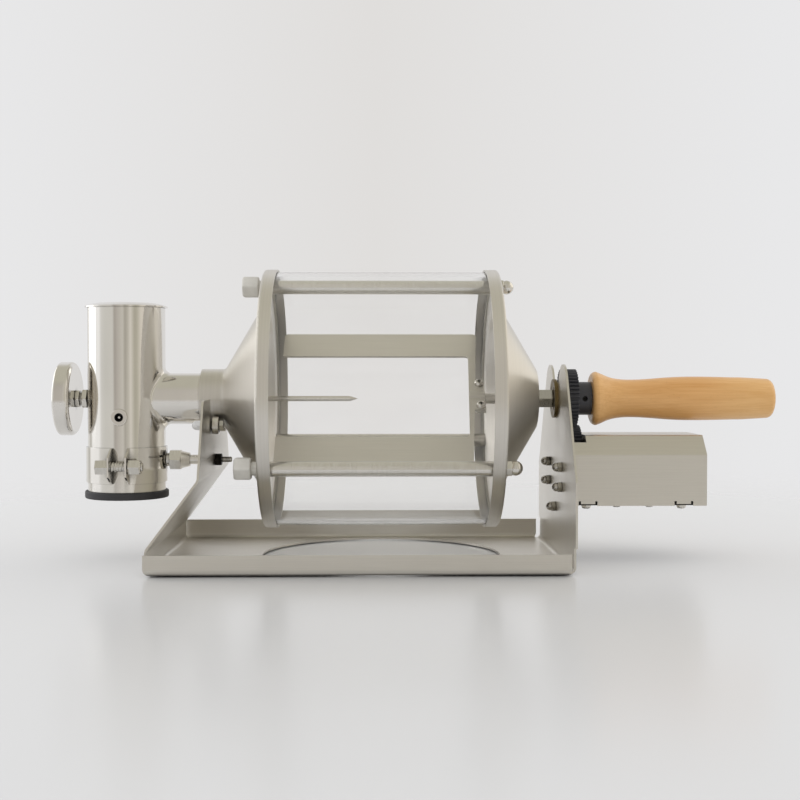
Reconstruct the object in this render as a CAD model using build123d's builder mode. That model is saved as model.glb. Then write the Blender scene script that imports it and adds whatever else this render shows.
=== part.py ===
from build123d import *
import os
from math import acos, atan2, cos, pi, radians, sin, sqrt, tan

# A small coffee roaster that stands over a gas burner: a glass drum turned by a gear motor
# on a folded stainless base, with a chaff collector and a dial thermometer at its left end.
# Sizes are in millimetres. x is counted from the middle of the drum, and z from the table.

# Sheet metal of the base and the drum
sheet = 1.5
fold_radius = 3.0

# Base
tray_depth = 192.0
flange_height = 16.0
front_flange_drop = 1.6
flange_setback = 4.0
tray_corner = 5.0
corner_gap = 2.0
burner_margin = 2.5
lean_run = 35.5
lean_setback = 8.0
left_top_setback = 34.0
left_top_corner = 7.0
notch_clearance = 4.0
taper_height = 63.0
horn_radius = 21.0
horn_spacing = 66.0
horn_rise = 4.5

# Drum
axis_height = 118.0
drum_length = 172.0
rim_radius = 96.0
rim_width = 9.5
rim_corner = 2.0
plate_width = 24.0
cone_length = 30.0
cone_corner = 4.0
collar_radius = 22.0
collar_length = 17.4
glass_wall = 3.0
glass_clearance = 0.3
seal_thickness = 1.5

# Tie rods with their hand knobs and cap nuts
rod_count = 3
rod_radius = 5.2
rod_inset = 13.0
rod_thread_radius = 3.0
first_rod_angle = 85.4
thread_clearance = 0.2
knob_flats = 15.0
knob_length = 12.0
knob_neck_radius = 5.0
knob_neck_length = 4.5
knob_edge = 1.2

# Vane frame
vane_angle = 38.0
vane_width = 29.0
vane_clearance = 1.3
vane_end_gap = 8.5
vane_leg_width = 4.5
vane_lean = 5.4
vane_window_lean = 2.0
vane_corner = 3.0
vane_screw_spacing = 26.0

# Drive shaft, spacer, bush, gears and handle
shaft_radius = 4.0
shaft_nose = 4.0
shaft_handle_grip = 34.0
cross_bar_inset = 12.2
cross_bar_length = 34.0
cross_bar_width = 7.4
cross_bar_height = 2.2
spacer_flats = 13.0
spacer_length = 12.4
bush_flange_radius = 14.5
bush_flange = 2.5
bush_nose = 1.5
bush_hole_radius = 1.6
bush_hole_circle = 10.0
gear_module = 1.0
gear_teeth = 42
pinion_teeth = 42
pressure_angle = 20.0
tooth_backlash = 0.2
gear_width = 11.3
gear_hub_radius = 12.4
gear_hub_length = 11.0
set_screw_radius = 2.0
set_screw_length = 4.5
pinion_width = 14.0
handle_length = 137.0
handle_flare_radius = 20.1
handle_flare_edge = 4.0
handle_throat_radius = 16.9
handle_waist_radius = 14.2
handle_bulge_radius = 16.25
handle_shoulder_radius = 15.9
handle_end_radius = 14.8
handle_end_round = 4.6

# Rollers under the collar
roller_radius = 6.5
roller_width = 5.0
roller_angle = 48.5
roller_gap = 0.3
roller_shoulder = 0.5
cone_clearance = 2.5
roller_nut_height = 5.4

# Motor unit
housing_sheet = 1.2
housing_length = 103.2
housing_depth = 75.0
housing_height = 50.5
housing_top_rise = 15.5
housing_chamfer = 13.5
housing_fold = 2.0
notch_depth = 5.0
notch_margin = 1.0
housing_lug_width = 10.6
housing_lug_height = 29.0
housing_lug_rise = 6.0
tab_width = 13.6
tab_length = 12.0
tab_relief = 1.6
tab_relief_height = 3.4
tab_inset = 10.0
tab_screw_inset = 8.5
cover_setback = 4.0
cover_lug_width = 18.0
cover_lug_drop = 8.0
motor_radius = 18.5
motor_offset = 7.0
gearbox_length = 22.0
can_length = 32.0
can_radius = 17.0
motor_shaft_radius = 3.0
motor_boss_radius = 6.0
bracket_gap = 2.5
bracket_sheet = 1.5
bracket_half_width = 24.0
foot_length = 48.0
foot_half_width = 33.0
foot_ear_length = 34.0
foot_screw_inset = 5.0

# Chaff collector
collector_offset = 56.6
tube_radius = 28.5
tube_wall = 1.2
tube_rise = 67.5
tube_drop = 71.5
neck_clearance = 1.5
neck_insert = 15.4
tee_fillet = 5.0
lid_overhang = 1.8
lid_thickness = 1.0
lid_crown = 2.6
lid_shoulder = 12.0
lid_skirt = 8.0
ring_overhang = 2.2
ring_height = 5.5
ring_floor = 2.0
ring_lip = 3.3
clamp_width = 26.0
clamp_drop = 48.5
clamp_band = 1.2
clamp_gap = 11.4
clamp_turn = 1.0
clamp_slot_angle = 55.0
clamp_slot_length = 14.5
clamp_slot_width = 1.6
clamp_slot_rise = 6.2
ear_length = 13.0
ear_tip_width = 14.0
clamp_bolt_inset = 6.5
clamp_head = 9.0
clamp_nut_length = 9.5
clamp_bolt_tip = 1.2
stud_drop = 45.5
stud_radius = 2.0
stud_root_radius = 5.0
stud_root_length = 2.5
stud_taper_radius = 6.5
stud_taper_length = 6.3
stud_neck_radius = 3.6
stud_tip = 7.5
stud_seat = 8.5
union_flats = 14.0
union_length = 8.5
union_chamfer = 1.0
lock_nut_flats = 8.5
lock_nut_height = 5.0
jack_drop = 13.0
jack_ring_radius = 6.0
jack_ring_height = 1.6
jack_body_radius = 5.0
jack_nose_radius = 3.2
jack_nose_setback = 0.3
jack_depth = 13.0
jack_bore_radius = 2.8
jack_bore_depth = 9.0
jack_pin_radius = 1.0
screen_drop = 24.0
screen_thickness = 1.0
screen_hole_radius = 2.2
screen_hole_pitch = 7.2
screen_rings = 3
fan_drop = 35.0
fan_hub_radius = 9.0
fan_hub_height = 7.0
fan_blades = 5
fan_blade_thickness = 1.2
fan_blade_pitch = 35.0
fan_tip_gap = 2.0
fan_motor_radius = 10.0
fan_motor_length = 20.0
fan_shaft_radius = 1.5
fan_shaft_length = 9.0
mount_height = 6.0
mount_ring = 1.5
mount_arm_width = 4.0
mount_cup_wall = 2.0

# Dial thermometer
dial_radius = 27.4
case_depth = 7.4
case_shoulder = 3.5
dial_wall = 1.0
bezel_lip = 2.2
bezel_round = 1.8
lens_thickness = 1.5
dial_plate_thickness = 0.8
pointer_length = 19.0
pointer_tail = 7.0
pointer_thickness = 0.5
pointer_rest = -45.0
pivot_radius = 0.8
stem_radius = 2.0
stem_tip = 6.0
stem_reach = 17.5
gland_length = 9.1
gland_radius = 4.7
gland_flats = 12.4
gland_nut_height = 3.4
gland_lock_flats = 13.4
gland_lock_height = 4.0

# M4 and M6 fasteners, and the clearances between pieces
m4_radius = 2.0
m4_flats = 7.0
m4_head = 2.8
m4_hex = 3.2
m4_dome = 4.0
m6_radius = 3.0
m6_flats = 10.0
m6_hex = 5.0
m6_dome = 7.5
pan_head_radius = 3.5
pan_head = 2.8
low_head_radius = 3.0
low_head = 1.6
running_fit = 0.05
end_play = 0.3
part_gap = 0.3
fit_gap = 0.1

# Places along the drum axis, worked out from the sizes above
fold_outer = fold_radius + sheet
cap_face = drum_length / 2
cone_end = cap_face + cone_length
collar_end = cone_end + collar_length
rod_circle = rim_radius - rod_inset
cone_base = rim_radius - plate_width
slot_radius = horn_spacing / 2 - horn_radius
spacer_end = cone_end + spacer_length
bush_start = spacer_end + end_play
right_inner = bush_start + bush_flange
right_outer = right_inner + sheet
bush_end = right_outer + bush_nose
gear_start = bush_end + end_play
gear_end = gear_start + gear_width
hub_end = gear_end + gear_hub_length
handle_start = hub_end + part_gap
handle_end = handle_start + handle_length
roller_end = cone_end + cone_clearance
left_inner = roller_end + roller_width + end_play + roller_shoulder
left_outer = left_inner + sheet
tray_left = left_outer + lean_run
tube_x = collar_end + collector_offset
case_back = tube_x + tube_radius + gland_length
plate_back = case_back + case_depth
pointer_back = plate_back + dial_plate_thickness + part_gap
lens_back = pointer_back + pointer_thickness + part_gap
dial_face = lens_back + lens_thickness + dial_wall
drum_x = (dial_face - handle_end) / 2

# Heights above the table
stud_height = axis_height - stud_drop
lean_top = stud_height - stud_seat
horn_height = axis_height + horn_rise
pinion_drop = gear_module * (gear_teeth + pinion_teeth) / 2
pinion_height = axis_height - pinion_drop
housing_top = pinion_height + housing_top_rise
housing_bottom = housing_top - housing_height
tube_top = axis_height + tube_rise
tube_bottom = axis_height - tube_drop
clamp_height = axis_height - clamp_drop


def across(x, y=0.0, z=axis_height):
    """A plane square to the drum axis that faces +X, its own axes along +Y and +Z."""
    return Plane(origin=(drum_x + x, y, z), x_dir=(0, 1, 0), z_dir=(1, 0, 0))


def across_left(x, y=0.0, z=axis_height):
    """The same plane turned to face -X."""
    return Plane(origin=(drum_x + x, y, z), x_dir=(0, -1, 0), z_dir=(-1, 0, 0))


def lengthwise(x, z):
    """An upright plane along the drum axis, its own axes along +X and +Z."""
    return Plane(origin=(drum_x + x, 0, z), x_dir=(1, 0, 0), z_dir=(0, -1, 0))


def level(x, z):
    """A level plane, its own axes along +X and +Y."""
    return Plane(origin=(drum_x + x, 0, z), x_dir=(1, 0, 0), z_dir=(0, 0, 1))


def save(piece, name):
    """Label a finished piece and write its file."""
    piece.part.label = name
    export_step(piece.part, f"parts/{name}.step")


def crown_arc(edge_radius, base, crown):
    """An arc from a rim at a height up to the axis, level where it meets the axis."""
    radius = (edge_radius**2 + crown**2) / (2 * crown)
    centre = base + crown - radius
    half = atan2(edge_radius, base - centre) / 2
    middle = (radius * sin(half), centre + radius * cos(half))
    return ThreePointArc((edge_radius, base), middle, (0, base + crown))


def hex_bolt(flats, head, radius, length):
    """A hex bolt whose shank stands on the plane z = 0, with its head below."""
    with BuildPart() as bolt:
        with BuildSketch(Plane.XY.offset(-head)):
            RegularPolygon(flats / 2, 6, major_radius=False)
        extrude(amount=head)
        with BuildSketch():
            Circle(radius)
        extrude(amount=length)
    return bolt.part


def pan_screw(head_radius, head, radius, length):
    """A round-headed screw whose shank stands on the plane z = 0, with its head below."""
    with BuildPart() as screw:
        with BuildSketch(Plane.XY.offset(-head)):
            Circle(head_radius)
        extrude(amount=head)
        fillet(screw.edges().sort_by(Axis.Z)[0], head / 2)
        with BuildSketch():
            Circle(radius)
        extrude(amount=length)
    return screw.part


def cap_nut(flats, hex_height, dome, bore):
    """A domed nut that stands on the plane z = 0, with a blind bore from below."""
    dome_radius = flats * 0.46
    with BuildPart() as nut:
        with BuildSketch():
            RegularPolygon(flats / 2, 6, major_radius=False)
        extrude(amount=hex_height)
        with BuildSketch(Plane.XZ):
            with BuildLine():
                Polyline((0, hex_height), (dome_radius, hex_height))
                crown_arc(dome_radius, hex_height, dome)
                Line((0, hex_height + dome), (0, hex_height))
            make_face()
        revolve(axis=Axis.Z)
        with BuildSketch():
            Circle(bore)
        extrude(amount=hex_height, mode=Mode.SUBTRACT)
    return nut.part


def hex_nut(flats, height, bore):
    """A plain hex nut that stands on the plane z = 0."""
    with BuildPart() as nut:
        with BuildSketch():
            RegularPolygon(flats / 2, 6, major_radius=False)
            Circle(bore, mode=Mode.SUBTRACT)
        extrude(amount=height)
    return nut.part


def power_jack():
    """A panel socket: its body below the plane z = 0, its nose above, its pin in a blind bore."""
    with BuildPart() as jack:
        with BuildSketch():
            Circle(jack_body_radius)
        extrude(amount=-jack_depth)
        with BuildSketch():
            Circle(jack_nose_radius)
        extrude(amount=jack_ring_height - jack_nose_setback)
        with BuildSketch(Plane.XY.offset(jack_ring_height)):
            Circle(jack_bore_radius)
        extrude(amount=-jack_bore_depth, mode=Mode.SUBTRACT)
        with BuildSketch(Plane.XY.offset(jack_ring_height - jack_bore_depth)):
            Circle(jack_pin_radius)
        extrude(amount=jack_bore_depth - jack_ring_height)
    return jack.part


def jack_ring():
    """The socket's ring nut, which stands on the plane z = 0."""
    with BuildPart() as ring:
        with BuildSketch():
            Circle(jack_ring_radius)
        extrude(amount=jack_ring_height)
        fillet(ring.edges().sort_by(Axis.Z)[-1], jack_ring_height / 3)
        with BuildSketch():
            Circle(jack_nose_radius)
        extrude(amount=jack_ring_height, mode=Mode.SUBTRACT)
    return ring.part


os.makedirs("parts", exist_ok=True)
drum_axis = Axis((drum_x, 0, axis_height), (1, 0, 0))
drum_section = lengthwise(0, axis_height)
table_section = lengthwise(0, 0)
m4_cap = cap_nut(m4_flats, m4_hex, m4_dome, m4_radius)
jack = power_jack()
jack_nut = jack_ring()

# Places of the rollers, the stand's bolts and the tie rods, as (y, z)
roller_reach = collar_radius + roller_gap + roller_radius
roller_y = roller_reach * sin(radians(roller_angle))
roller_z = axis_height - roller_reach * cos(radians(roller_angle))
housing_bolt_y = housing_depth / 2 - housing_sheet - housing_lug_width / 2
lug_bottom = housing_bottom + housing_lug_rise
lug_top = lug_bottom + housing_lug_height
cover_bolt_z = housing_bottom - cover_lug_drop / 2
stand_bolts_at = [(0, cover_bolt_z)]
for bolt_side in (-1, 1):
    for bolt_z in (lug_bottom + housing_lug_height / 4, lug_top - housing_lug_height / 4):
        stand_bolts_at.append((bolt_side * housing_bolt_y, bolt_z))
rods_at = []
for rod in range(rod_count):
    rod_angle = radians(first_rod_angle + rod * 360 / rod_count)
    rods_at.append((-rod_circle * cos(rod_angle), axis_height + rod_circle * sin(rod_angle)))

# The left stand: up from the tray, leaning inwards, then upright, with a notch for the collar
left_top = axis_height
foot_half = tray_depth / 2 - fold_outer - corner_gap
foot_top = flange_height + corner_gap
with BuildPart() as left_stand:
    with BuildSketch(table_section):
        with BuildLine():
            FilletPolyline(
                (-left_outer, left_top),
                (-left_outer, lean_top),
                (-tray_left, flange_height),
                (-tray_left, 0),
                (-tray_left + 2 * fold_outer, 0),
                radius=fold_outer,
            )
            offset(amount=sheet, side=Side.LEFT)
        make_face()
    extrude(amount=tray_depth / 2, both=True)
    with BuildSketch(across(-tray_left, z=0)):
        with BuildLine():
            Polyline((0, 0), (foot_half, 0), (foot_half, foot_top), (tray_depth / 2, foot_top))
            FilletPolyline(
                (tray_depth / 2, foot_top),
                (tray_depth / 2 - lean_setback, lean_top),
                (tray_depth / 2 - left_top_setback, left_top),
                (0, left_top),
                radius=left_top_corner,
            )
            Line((0, left_top), (0, 0))
        make_face()
        mirror(about=Plane.YZ)
        with Locations((0, axis_height)):
            Circle(collar_radius + notch_clearance, mode=Mode.SUBTRACT)
        with Locations((0, stud_height)):
            Circle(stud_radius + part_gap, mode=Mode.SUBTRACT)
        with Locations((-roller_y, roller_z), (roller_y, roller_z)):
            Circle(m4_radius, mode=Mode.SUBTRACT)
    extrude(amount=tray_left, mode=Mode.INTERSECT)

# The right stand: tapered, with two rounded horns and an open slot for the shaft's bush
half_depth = tray_depth / 2
horn_y = horn_spacing / 2
edge_run = half_depth - horn_y
edge_rise = horn_height - taper_height
touch_angle = acos(horn_radius / sqrt(edge_run**2 + edge_rise**2)) - atan2(edge_rise, edge_run)
horn_mid_angle = (touch_angle + pi) / 2
horn_touch = (horn_y + horn_radius * cos(touch_angle), horn_height + horn_radius * sin(touch_angle))
horn_mid = (horn_y + horn_radius * cos(horn_mid_angle), horn_height + horn_radius * sin(horn_mid_angle))
with BuildPart() as right_stand:
    with BuildSketch(table_section):
        with BuildLine():
            FilletPolyline(
                (right_outer - 2 * fold_outer, 0),
                (right_outer, 0),
                (right_outer, horn_height + horn_radius),
                radius=fold_outer,
            )
            offset(amount=sheet, side=Side.LEFT)
        make_face()
    extrude(amount=half_depth, both=True)
    with BuildSketch(across(right_inner - 2 * fold_outer, z=0)):
        with BuildLine():
            Polyline(
                (0, axis_height - slot_radius),
                (0, 0),
                (foot_half, 0),
                (foot_half, foot_top),
                (half_depth, foot_top),
                (half_depth, taper_height),
                horn_touch,
            )
            ThreePointArc(horn_touch, horn_mid, (slot_radius, horn_height))
            Line((slot_radius, horn_height), (slot_radius, axis_height))
            RadiusArc((slot_radius, axis_height), (0, axis_height - slot_radius), slot_radius)
        make_face()
        mirror(about=Plane.YZ)
        with Locations(*stand_bolts_at):
            Circle(m4_radius, mode=Mode.SUBTRACT)
    extrude(amount=3 * fold_outer, mode=Mode.INTERSECT)

# The tray between the stands: floor, front and back flanges, and the burner hole
tray_length = tray_left + right_outer
flange_end = right_outer - flange_setback
with BuildPart() as base_frame:
    with BuildSketch(across(-tray_left, z=0)):
        with BuildLine():
            FilletPolyline(
                (-half_depth, flange_height - front_flange_drop),
                (-half_depth, 0),
                (half_depth, 0),
                (half_depth, flange_height),
                radius=fold_outer,
            )
            offset(amount=sheet, side=Side.LEFT)
        make_face()
    extrude(amount=tray_length)
    with BuildSketch(table_section):
        with BuildLine():
            FilletPolyline(
                (-tray_left, flange_height),
                (-tray_left, 0),
                (flange_end, 0),
                (flange_end, flange_height),
                radius=tray_corner,
            )
            Line((flange_end, flange_height), (-tray_left, flange_height))
        make_face()
    extrude(amount=half_depth, both=True, mode=Mode.INTERSECT)
    with BuildSketch(level(0, 0)):
        Circle(half_depth - fold_outer - burner_margin)
        with Locations((-tray_left, 0), (right_outer, 0)):
            Rectangle(2 * fold_outer, 2 * (foot_half + corner_gap))
    extrude(amount=flange_height, mode=Mode.SUBTRACT)
    add(left_stand.part)
    add(right_stand.part)
save(base_frame, "base_frame")

# Rollers that carry the drum's collar, on bolts through the left stand
roller_start = -roller_end - roller_width
for name, side in (("front_roller", -1), ("back_roller", 1)):
    with BuildPart() as roller:
        with BuildSketch(across(roller_start, side * roller_y, roller_z)):
            Circle(roller_radius)
            Circle(m4_radius + running_fit, mode=Mode.SUBTRACT)
        extrude(amount=roller_width)
        chamfer(roller.edges().filter_by(GeomType.CIRCLE).group_by(SortBy.RADIUS)[-1], 0.5)
        shield_depth = roller_width / 8
        for shield_x in (roller_start, roller_start + roller_width - shield_depth):
            with BuildSketch(across(shield_x, side * roller_y, roller_z)):
                Circle(roller_radius * 0.8)
                Circle(roller_radius * 0.5, mode=Mode.SUBTRACT)
            extrude(amount=shield_depth, mode=Mode.SUBTRACT)
    save(roller, name)

roller_cap_x = left_outer + roller_nut_height + fit_gap
roller_bolt = hex_bolt(m4_flats, m4_head, m4_radius, roller_cap_x + m4_hex - roller_end + end_play)
bolt_head_x = -roller_end + end_play
with BuildPart() as roller_axle_bolts:
    with Locations(
        across_left(bolt_head_x, -roller_y, roller_z), across_left(bolt_head_x, roller_y, roller_z)
    ):
        add(roller_bolt)
    with BuildSketch(across_left(-left_inner + roller_shoulder)):
        with Locations((-roller_y, roller_z - axis_height), (roller_y, roller_z - axis_height)):
            Circle(m4_flats / 2)
    extrude(amount=roller_shoulder)
save(roller_axle_bolts, "roller_axle_bolts")

with BuildPart() as roller_axle_nuts:
    with Locations(
        across_left(-left_outer, -roller_y, roller_z), across_left(-left_outer, roller_y, roller_z)
    ):
        add(hex_nut(m4_flats, roller_nut_height, m4_radius))
    with Locations(
        across_left(-roller_cap_x, -roller_y, roller_z), across_left(-roller_cap_x, roller_y, roller_z)
    ):
        add(m4_cap)
save(roller_axle_nuts, "roller_axle_nuts")

# End caps of the drum: a rim round the glass, a flat ring, a cone, and a collar or a closed end
rod_hole = rod_thread_radius + thread_clearance
with BuildPart() as left_end_cap:
    with BuildSketch(drum_section):
        with BuildLine():
            FilletPolyline(
                (rim_width - cap_face, rim_radius),
                (-cap_face, rim_radius),
                (-cap_face, cone_base),
                (-cone_end, collar_radius),
                (-collar_end, collar_radius),
                radius=[rim_corner, cone_corner, cone_corner],
            )
            offset(amount=sheet, side=Side.LEFT)
        make_face()
    revolve(axis=drum_axis)
    with BuildSketch(across(-cap_face, z=0)):
        with Locations(*rods_at):
            Circle(rod_hole)
    extrude(amount=sheet, both=True, mode=Mode.SUBTRACT)
save(left_end_cap, "left_end_cap")

with BuildPart() as right_end_cap:
    with BuildSketch(drum_section):
        with BuildLine():
            FilletPolyline(
                (cap_face - rim_width, rim_radius),
                (cap_face, rim_radius),
                (cap_face, cone_base),
                (cone_end, collar_radius),
                (cone_end, shaft_radius),
                radius=[rim_corner, cone_corner, cone_corner],
            )
            offset(amount=sheet, side=Side.RIGHT)
        make_face()
    revolve(axis=drum_axis)
    with BuildSketch(across(cap_face, z=0)):
        with Locations(*rods_at):
            Circle(rod_hole)
    extrude(amount=sheet, both=True, mode=Mode.SUBTRACT)
save(right_end_cap, "right_end_cap")

# Glass cylinder between two flat seals
glass_radius = rim_radius - sheet - glass_clearance
glass_half = cap_face - sheet - seal_thickness
seal_radius = glass_radius - rim_corner / 2
with BuildPart() as glass_cylinder:
    with BuildSketch(across(-glass_half)):
        Circle(glass_radius)
        Circle(glass_radius - glass_wall, mode=Mode.SUBTRACT)
    extrude(amount=2 * glass_half)
save(glass_cylinder, "glass_cylinder")

for name, seal_x in (("left_seal", -glass_half - seal_thickness), ("right_seal", glass_half)):
    with BuildPart() as seal:
        with BuildSketch(across(seal_x)):
            Circle(seal_radius)
            Circle(rod_circle + rod_radius + part_gap, mode=Mode.SUBTRACT)
        extrude(amount=seal_thickness)
    save(seal, name)

# Tie rods: a sleeve between the end caps, and a threaded end through each
knob_seat = cap_face + fit_gap
rod_left = knob_seat + knob_neck_length + knob_length - knob_edge - 2 * fit_gap
with BuildPart() as tie_rods:
    with BuildSketch(across(sheet - cap_face, z=0)):
        with Locations(*rods_at):
            Circle(rod_radius)
    extrude(amount=2 * (cap_face - sheet))
    with BuildSketch(across(-rod_left, z=0)):
        with Locations(*rods_at):
            Circle(rod_thread_radius)
    extrude(amount=rod_left + cap_face + m6_hex)
save(tie_rods, "tie_rods")

tie_rod_cap = cap_nut(m6_flats, m6_hex, m6_dome, rod_thread_radius)
with BuildPart() as tie_rod_nuts:
    with Locations(*[across(cap_face, y, z) for y, z in rods_at]):
        add(tie_rod_cap)
save(tie_rod_nuts, "tie_rod_nuts")

# Hand knobs on the left ends of the rods: a hexagon with softened ends on a round neck
for number, (y, z) in enumerate(rods_at, start=1):
    with BuildPart() as knob:
        with BuildSketch(across_left(-knob_seat, y, z)):
            Circle(knob_neck_radius)
        extrude(amount=knob_neck_length)
        with BuildSketch(across_left(-knob_seat - knob_neck_length, y, z)):
            RegularPolygon(knob_flats / 2, 6, major_radius=False)
        extrude(amount=knob_length)
        with BuildSketch(lengthwise(-knob_seat - knob_neck_length, z).offset(-y)):
            with BuildLine():
                Polyline(
                    (0, 0),
                    (0, knob_flats / 2),
                    (-knob_edge, knob_flats / 2 + 2 * knob_edge),
                    (knob_edge - knob_length, knob_flats / 2 + 2 * knob_edge),
                    (-knob_length, knob_flats / 2),
                    (-knob_length, 0),
                    close=True,
                )
            make_face()
            with BuildLine():
                Polyline(
                    (0, 0),
                    (knob_neck_length, 0),
                    (knob_neck_length, knob_neck_radius),
                    (0, knob_neck_radius),
                    close=True,
                )
            make_face()
        revolve(axis=Axis((drum_x, y, z), (1, 0, 0)), mode=Mode.INTERSECT)
        with BuildSketch(across_left(-knob_seat, y, z)):
            Circle(rod_thread_radius + running_fit)
        extrude(amount=knob_neck_length + knob_length - knob_edge, mode=Mode.SUBTRACT)
    save(knob, f"knob_{number}")

# Drive shaft with a cross bar at its inner end for the vane frame
vane_normal = (0, -sin(radians(vane_angle)), cos(radians(vane_angle)))
vane_plane = Plane(origin=(drum_x, 0, axis_height), x_dir=(1, 0, 0), z_dir=vane_normal)
bar_middle = cap_face - cross_bar_inset
bar_left = bar_middle - cross_bar_width / 2
shaft_start = bar_left - shaft_nose
saddle_length = shaft_nose + cross_bar_width
saddle_foot = (cross_bar_height * vane_normal[1], cross_bar_height * vane_normal[2])
vane_screws_at = [(bar_middle, side * vane_screw_spacing / 2) for side in (-1, 1)]
with BuildPart() as drive_shaft:
    with BuildSketch(across(shaft_start)):
        Circle(shaft_radius)
    extrude(amount=handle_start + shaft_handle_grip - shaft_start)
    with BuildSketch(vane_plane):
        with Locations((bar_middle, 0)):
            Rectangle(cross_bar_width, cross_bar_length)
    extrude(amount=cross_bar_height)
    with BuildSketch(vane_plane.offset(cross_bar_height)):
        with Locations(*vane_screws_at):
            Circle(m4_radius)
    extrude(amount=-cross_bar_height, mode=Mode.SUBTRACT)
save(drive_shaft, "drive_shaft")

# Vane frame: one C-shaped sheet that lifts the beans, its leaning leg screwed to the cross bar
# and pressed into a saddle over the round shaft
vane_outer = rod_circle - rod_radius - vane_clearance
vane_inner = vane_outer - vane_width
vane_left = vane_end_gap + sheet - cap_face
window_left = vane_left - 2 * vane_corner
window_right = bar_left - vane_leg_width
with BuildPart() as vane_frame:
    with BuildSketch(vane_plane.offset(cross_bar_height)):
        with BuildLine():
            FilletPolyline(
                (vane_left, vane_outer),
                (bar_left + vane_lean, vane_outer),
                (bar_left - vane_lean, -vane_outer),
                (vane_left, -vane_outer),
                close=True,
                radius=vane_corner,
            )
        make_face()
        with BuildLine():
            FilletPolyline(
                (window_left, vane_inner),
                (window_right + vane_window_lean, vane_inner),
                (window_right - vane_window_lean, -vane_inner),
                (window_left, -vane_inner),
                close=True,
                radius=vane_corner,
            )
        make_face(mode=Mode.SUBTRACT)
        with Locations((bar_left - vane_leg_width / 2, 0)):
            Rectangle(
                vane_leg_width / 2 + cross_bar_width,
                cross_bar_length,
                align=(Align.MIN, Align.CENTER),
            )
        with Locations(*vane_screws_at):
            Circle(m4_radius, mode=Mode.SUBTRACT)
    extrude(amount=sheet)
    with BuildSketch(across(shaft_start)):
        Circle(shaft_radius + sheet)
        with Locations(saddle_foot):
            Rectangle(
                4 * (shaft_radius + sheet),
                2 * (shaft_radius + sheet),
                rotation=vane_angle,
                align=(Align.CENTER, Align.MIN),
                mode=Mode.INTERSECT,
            )
    extrude(amount=saddle_length)
    with BuildSketch(across(shaft_start)):
        Circle(shaft_radius)
    extrude(amount=saddle_length, mode=Mode.SUBTRACT)
save(vane_frame, "vane_frame")

vane_screw = pan_screw(pan_head_radius, pan_head, m4_radius, sheet + cross_bar_height)
with BuildPart() as vane_screws:
    with Locations(
        *[
            Plane(
                origin=vane_plane.offset(cross_bar_height + sheet).from_local_coords((x, v, 0)),
                x_dir=(1, 0, 0),
                z_dir=[-part for part in vane_normal],
            )
            for x, v in vane_screws_at
        ]
    ):
        add(vane_screw)
save(vane_screws, "vane_screws")

# Hex spacer against the closed end, and the brass bush that the shaft turns in
with BuildPart() as hex_spacer:
    with Locations(across(cone_end)):
        add(hex_nut(spacer_flats, spacer_length, shaft_radius))
save(hex_spacer, "hex_spacer")

with BuildPart() as shaft_bush:
    with BuildSketch(across(bush_start)):
        Circle(bush_flange_radius)
        with PolarLocations(bush_hole_circle, 4, start_angle=45):
            Circle(bush_hole_radius, mode=Mode.SUBTRACT)
    extrude(amount=bush_flange)
    with BuildSketch(across(right_inner)):
        Circle(slot_radius)
    extrude(amount=bush_end - right_inner)
    with BuildSketch(across(bush_start)):
        Circle(shaft_radius + running_fit)
    extrude(amount=bush_end - bush_start, mode=Mode.SUBTRACT)
save(shaft_bush, "shaft_bush")


def gear_sketch(plane, teeth, first_angle):
    """A spur gear's outline with involute flanks, its first tooth at an angle from the plane's x."""
    pitch = gear_module * teeth / 2
    root = pitch - 1.25 * gear_module
    tip = pitch + gear_module
    base = pitch * cos(radians(pressure_angle))
    half_angle = (pi * gear_module / 2 - tooth_backlash) / (2 * pitch)
    start = tan(radians(pressure_angle)) - radians(pressure_angle)
    flank = []
    for radius in (max(root, base), pitch, tip):
        slope = acos(base / radius)
        turn = half_angle + start - (tan(slope) - slope)
        flank.append((radius * cos(turn), radius * sin(turn)))
    foot = (root - gear_module, flank[0][1])
    upper = [foot] + flank
    lower = [(x, -y) for x, y in reversed(upper)]
    with BuildSketch(plane) as outline:
        Circle(root)
        with PolarLocations(0, teeth, start_angle=first_angle):
            Polygon(*lower, *upper, align=None)
    return outline.sketch


# Drum gear with its hub and set screw: one tooth points straight down into the pinion
down = -90.0
drum_gear_outline = gear_sketch(across(gear_start), gear_teeth, down)
set_screw_x = gear_end + gear_hub_length / 2
with BuildPart() as drum_gear:
    extrude(drum_gear_outline, amount=gear_width)
    with BuildSketch(across(gear_end)):
        Circle(gear_hub_radius)
    extrude(amount=gear_hub_length)
    with BuildSketch(across(gear_start)):
        Circle(shaft_radius)
    extrude(amount=gear_width + gear_hub_length, mode=Mode.SUBTRACT)
    with BuildSketch(lengthwise(set_screw_x, axis_height)):
        Circle(set_screw_radius)
    extrude(amount=gear_hub_radius, mode=Mode.SUBTRACT)
save(drum_gear, "drum_gear")

with BuildPart() as gear_set_screw:
    with BuildSketch(lengthwise(set_screw_x, axis_height).offset(shaft_radius)):
        Circle(set_screw_radius)
    extrude(amount=set_screw_length)
    with BuildSketch(lengthwise(set_screw_x, axis_height).offset(shaft_radius + set_screw_length)):
        RegularPolygon(set_screw_radius / 2, 6)
    extrude(amount=-set_screw_length / 2, mode=Mode.SUBTRACT)
save(gear_set_screw, "gear_set_screw")

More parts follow.
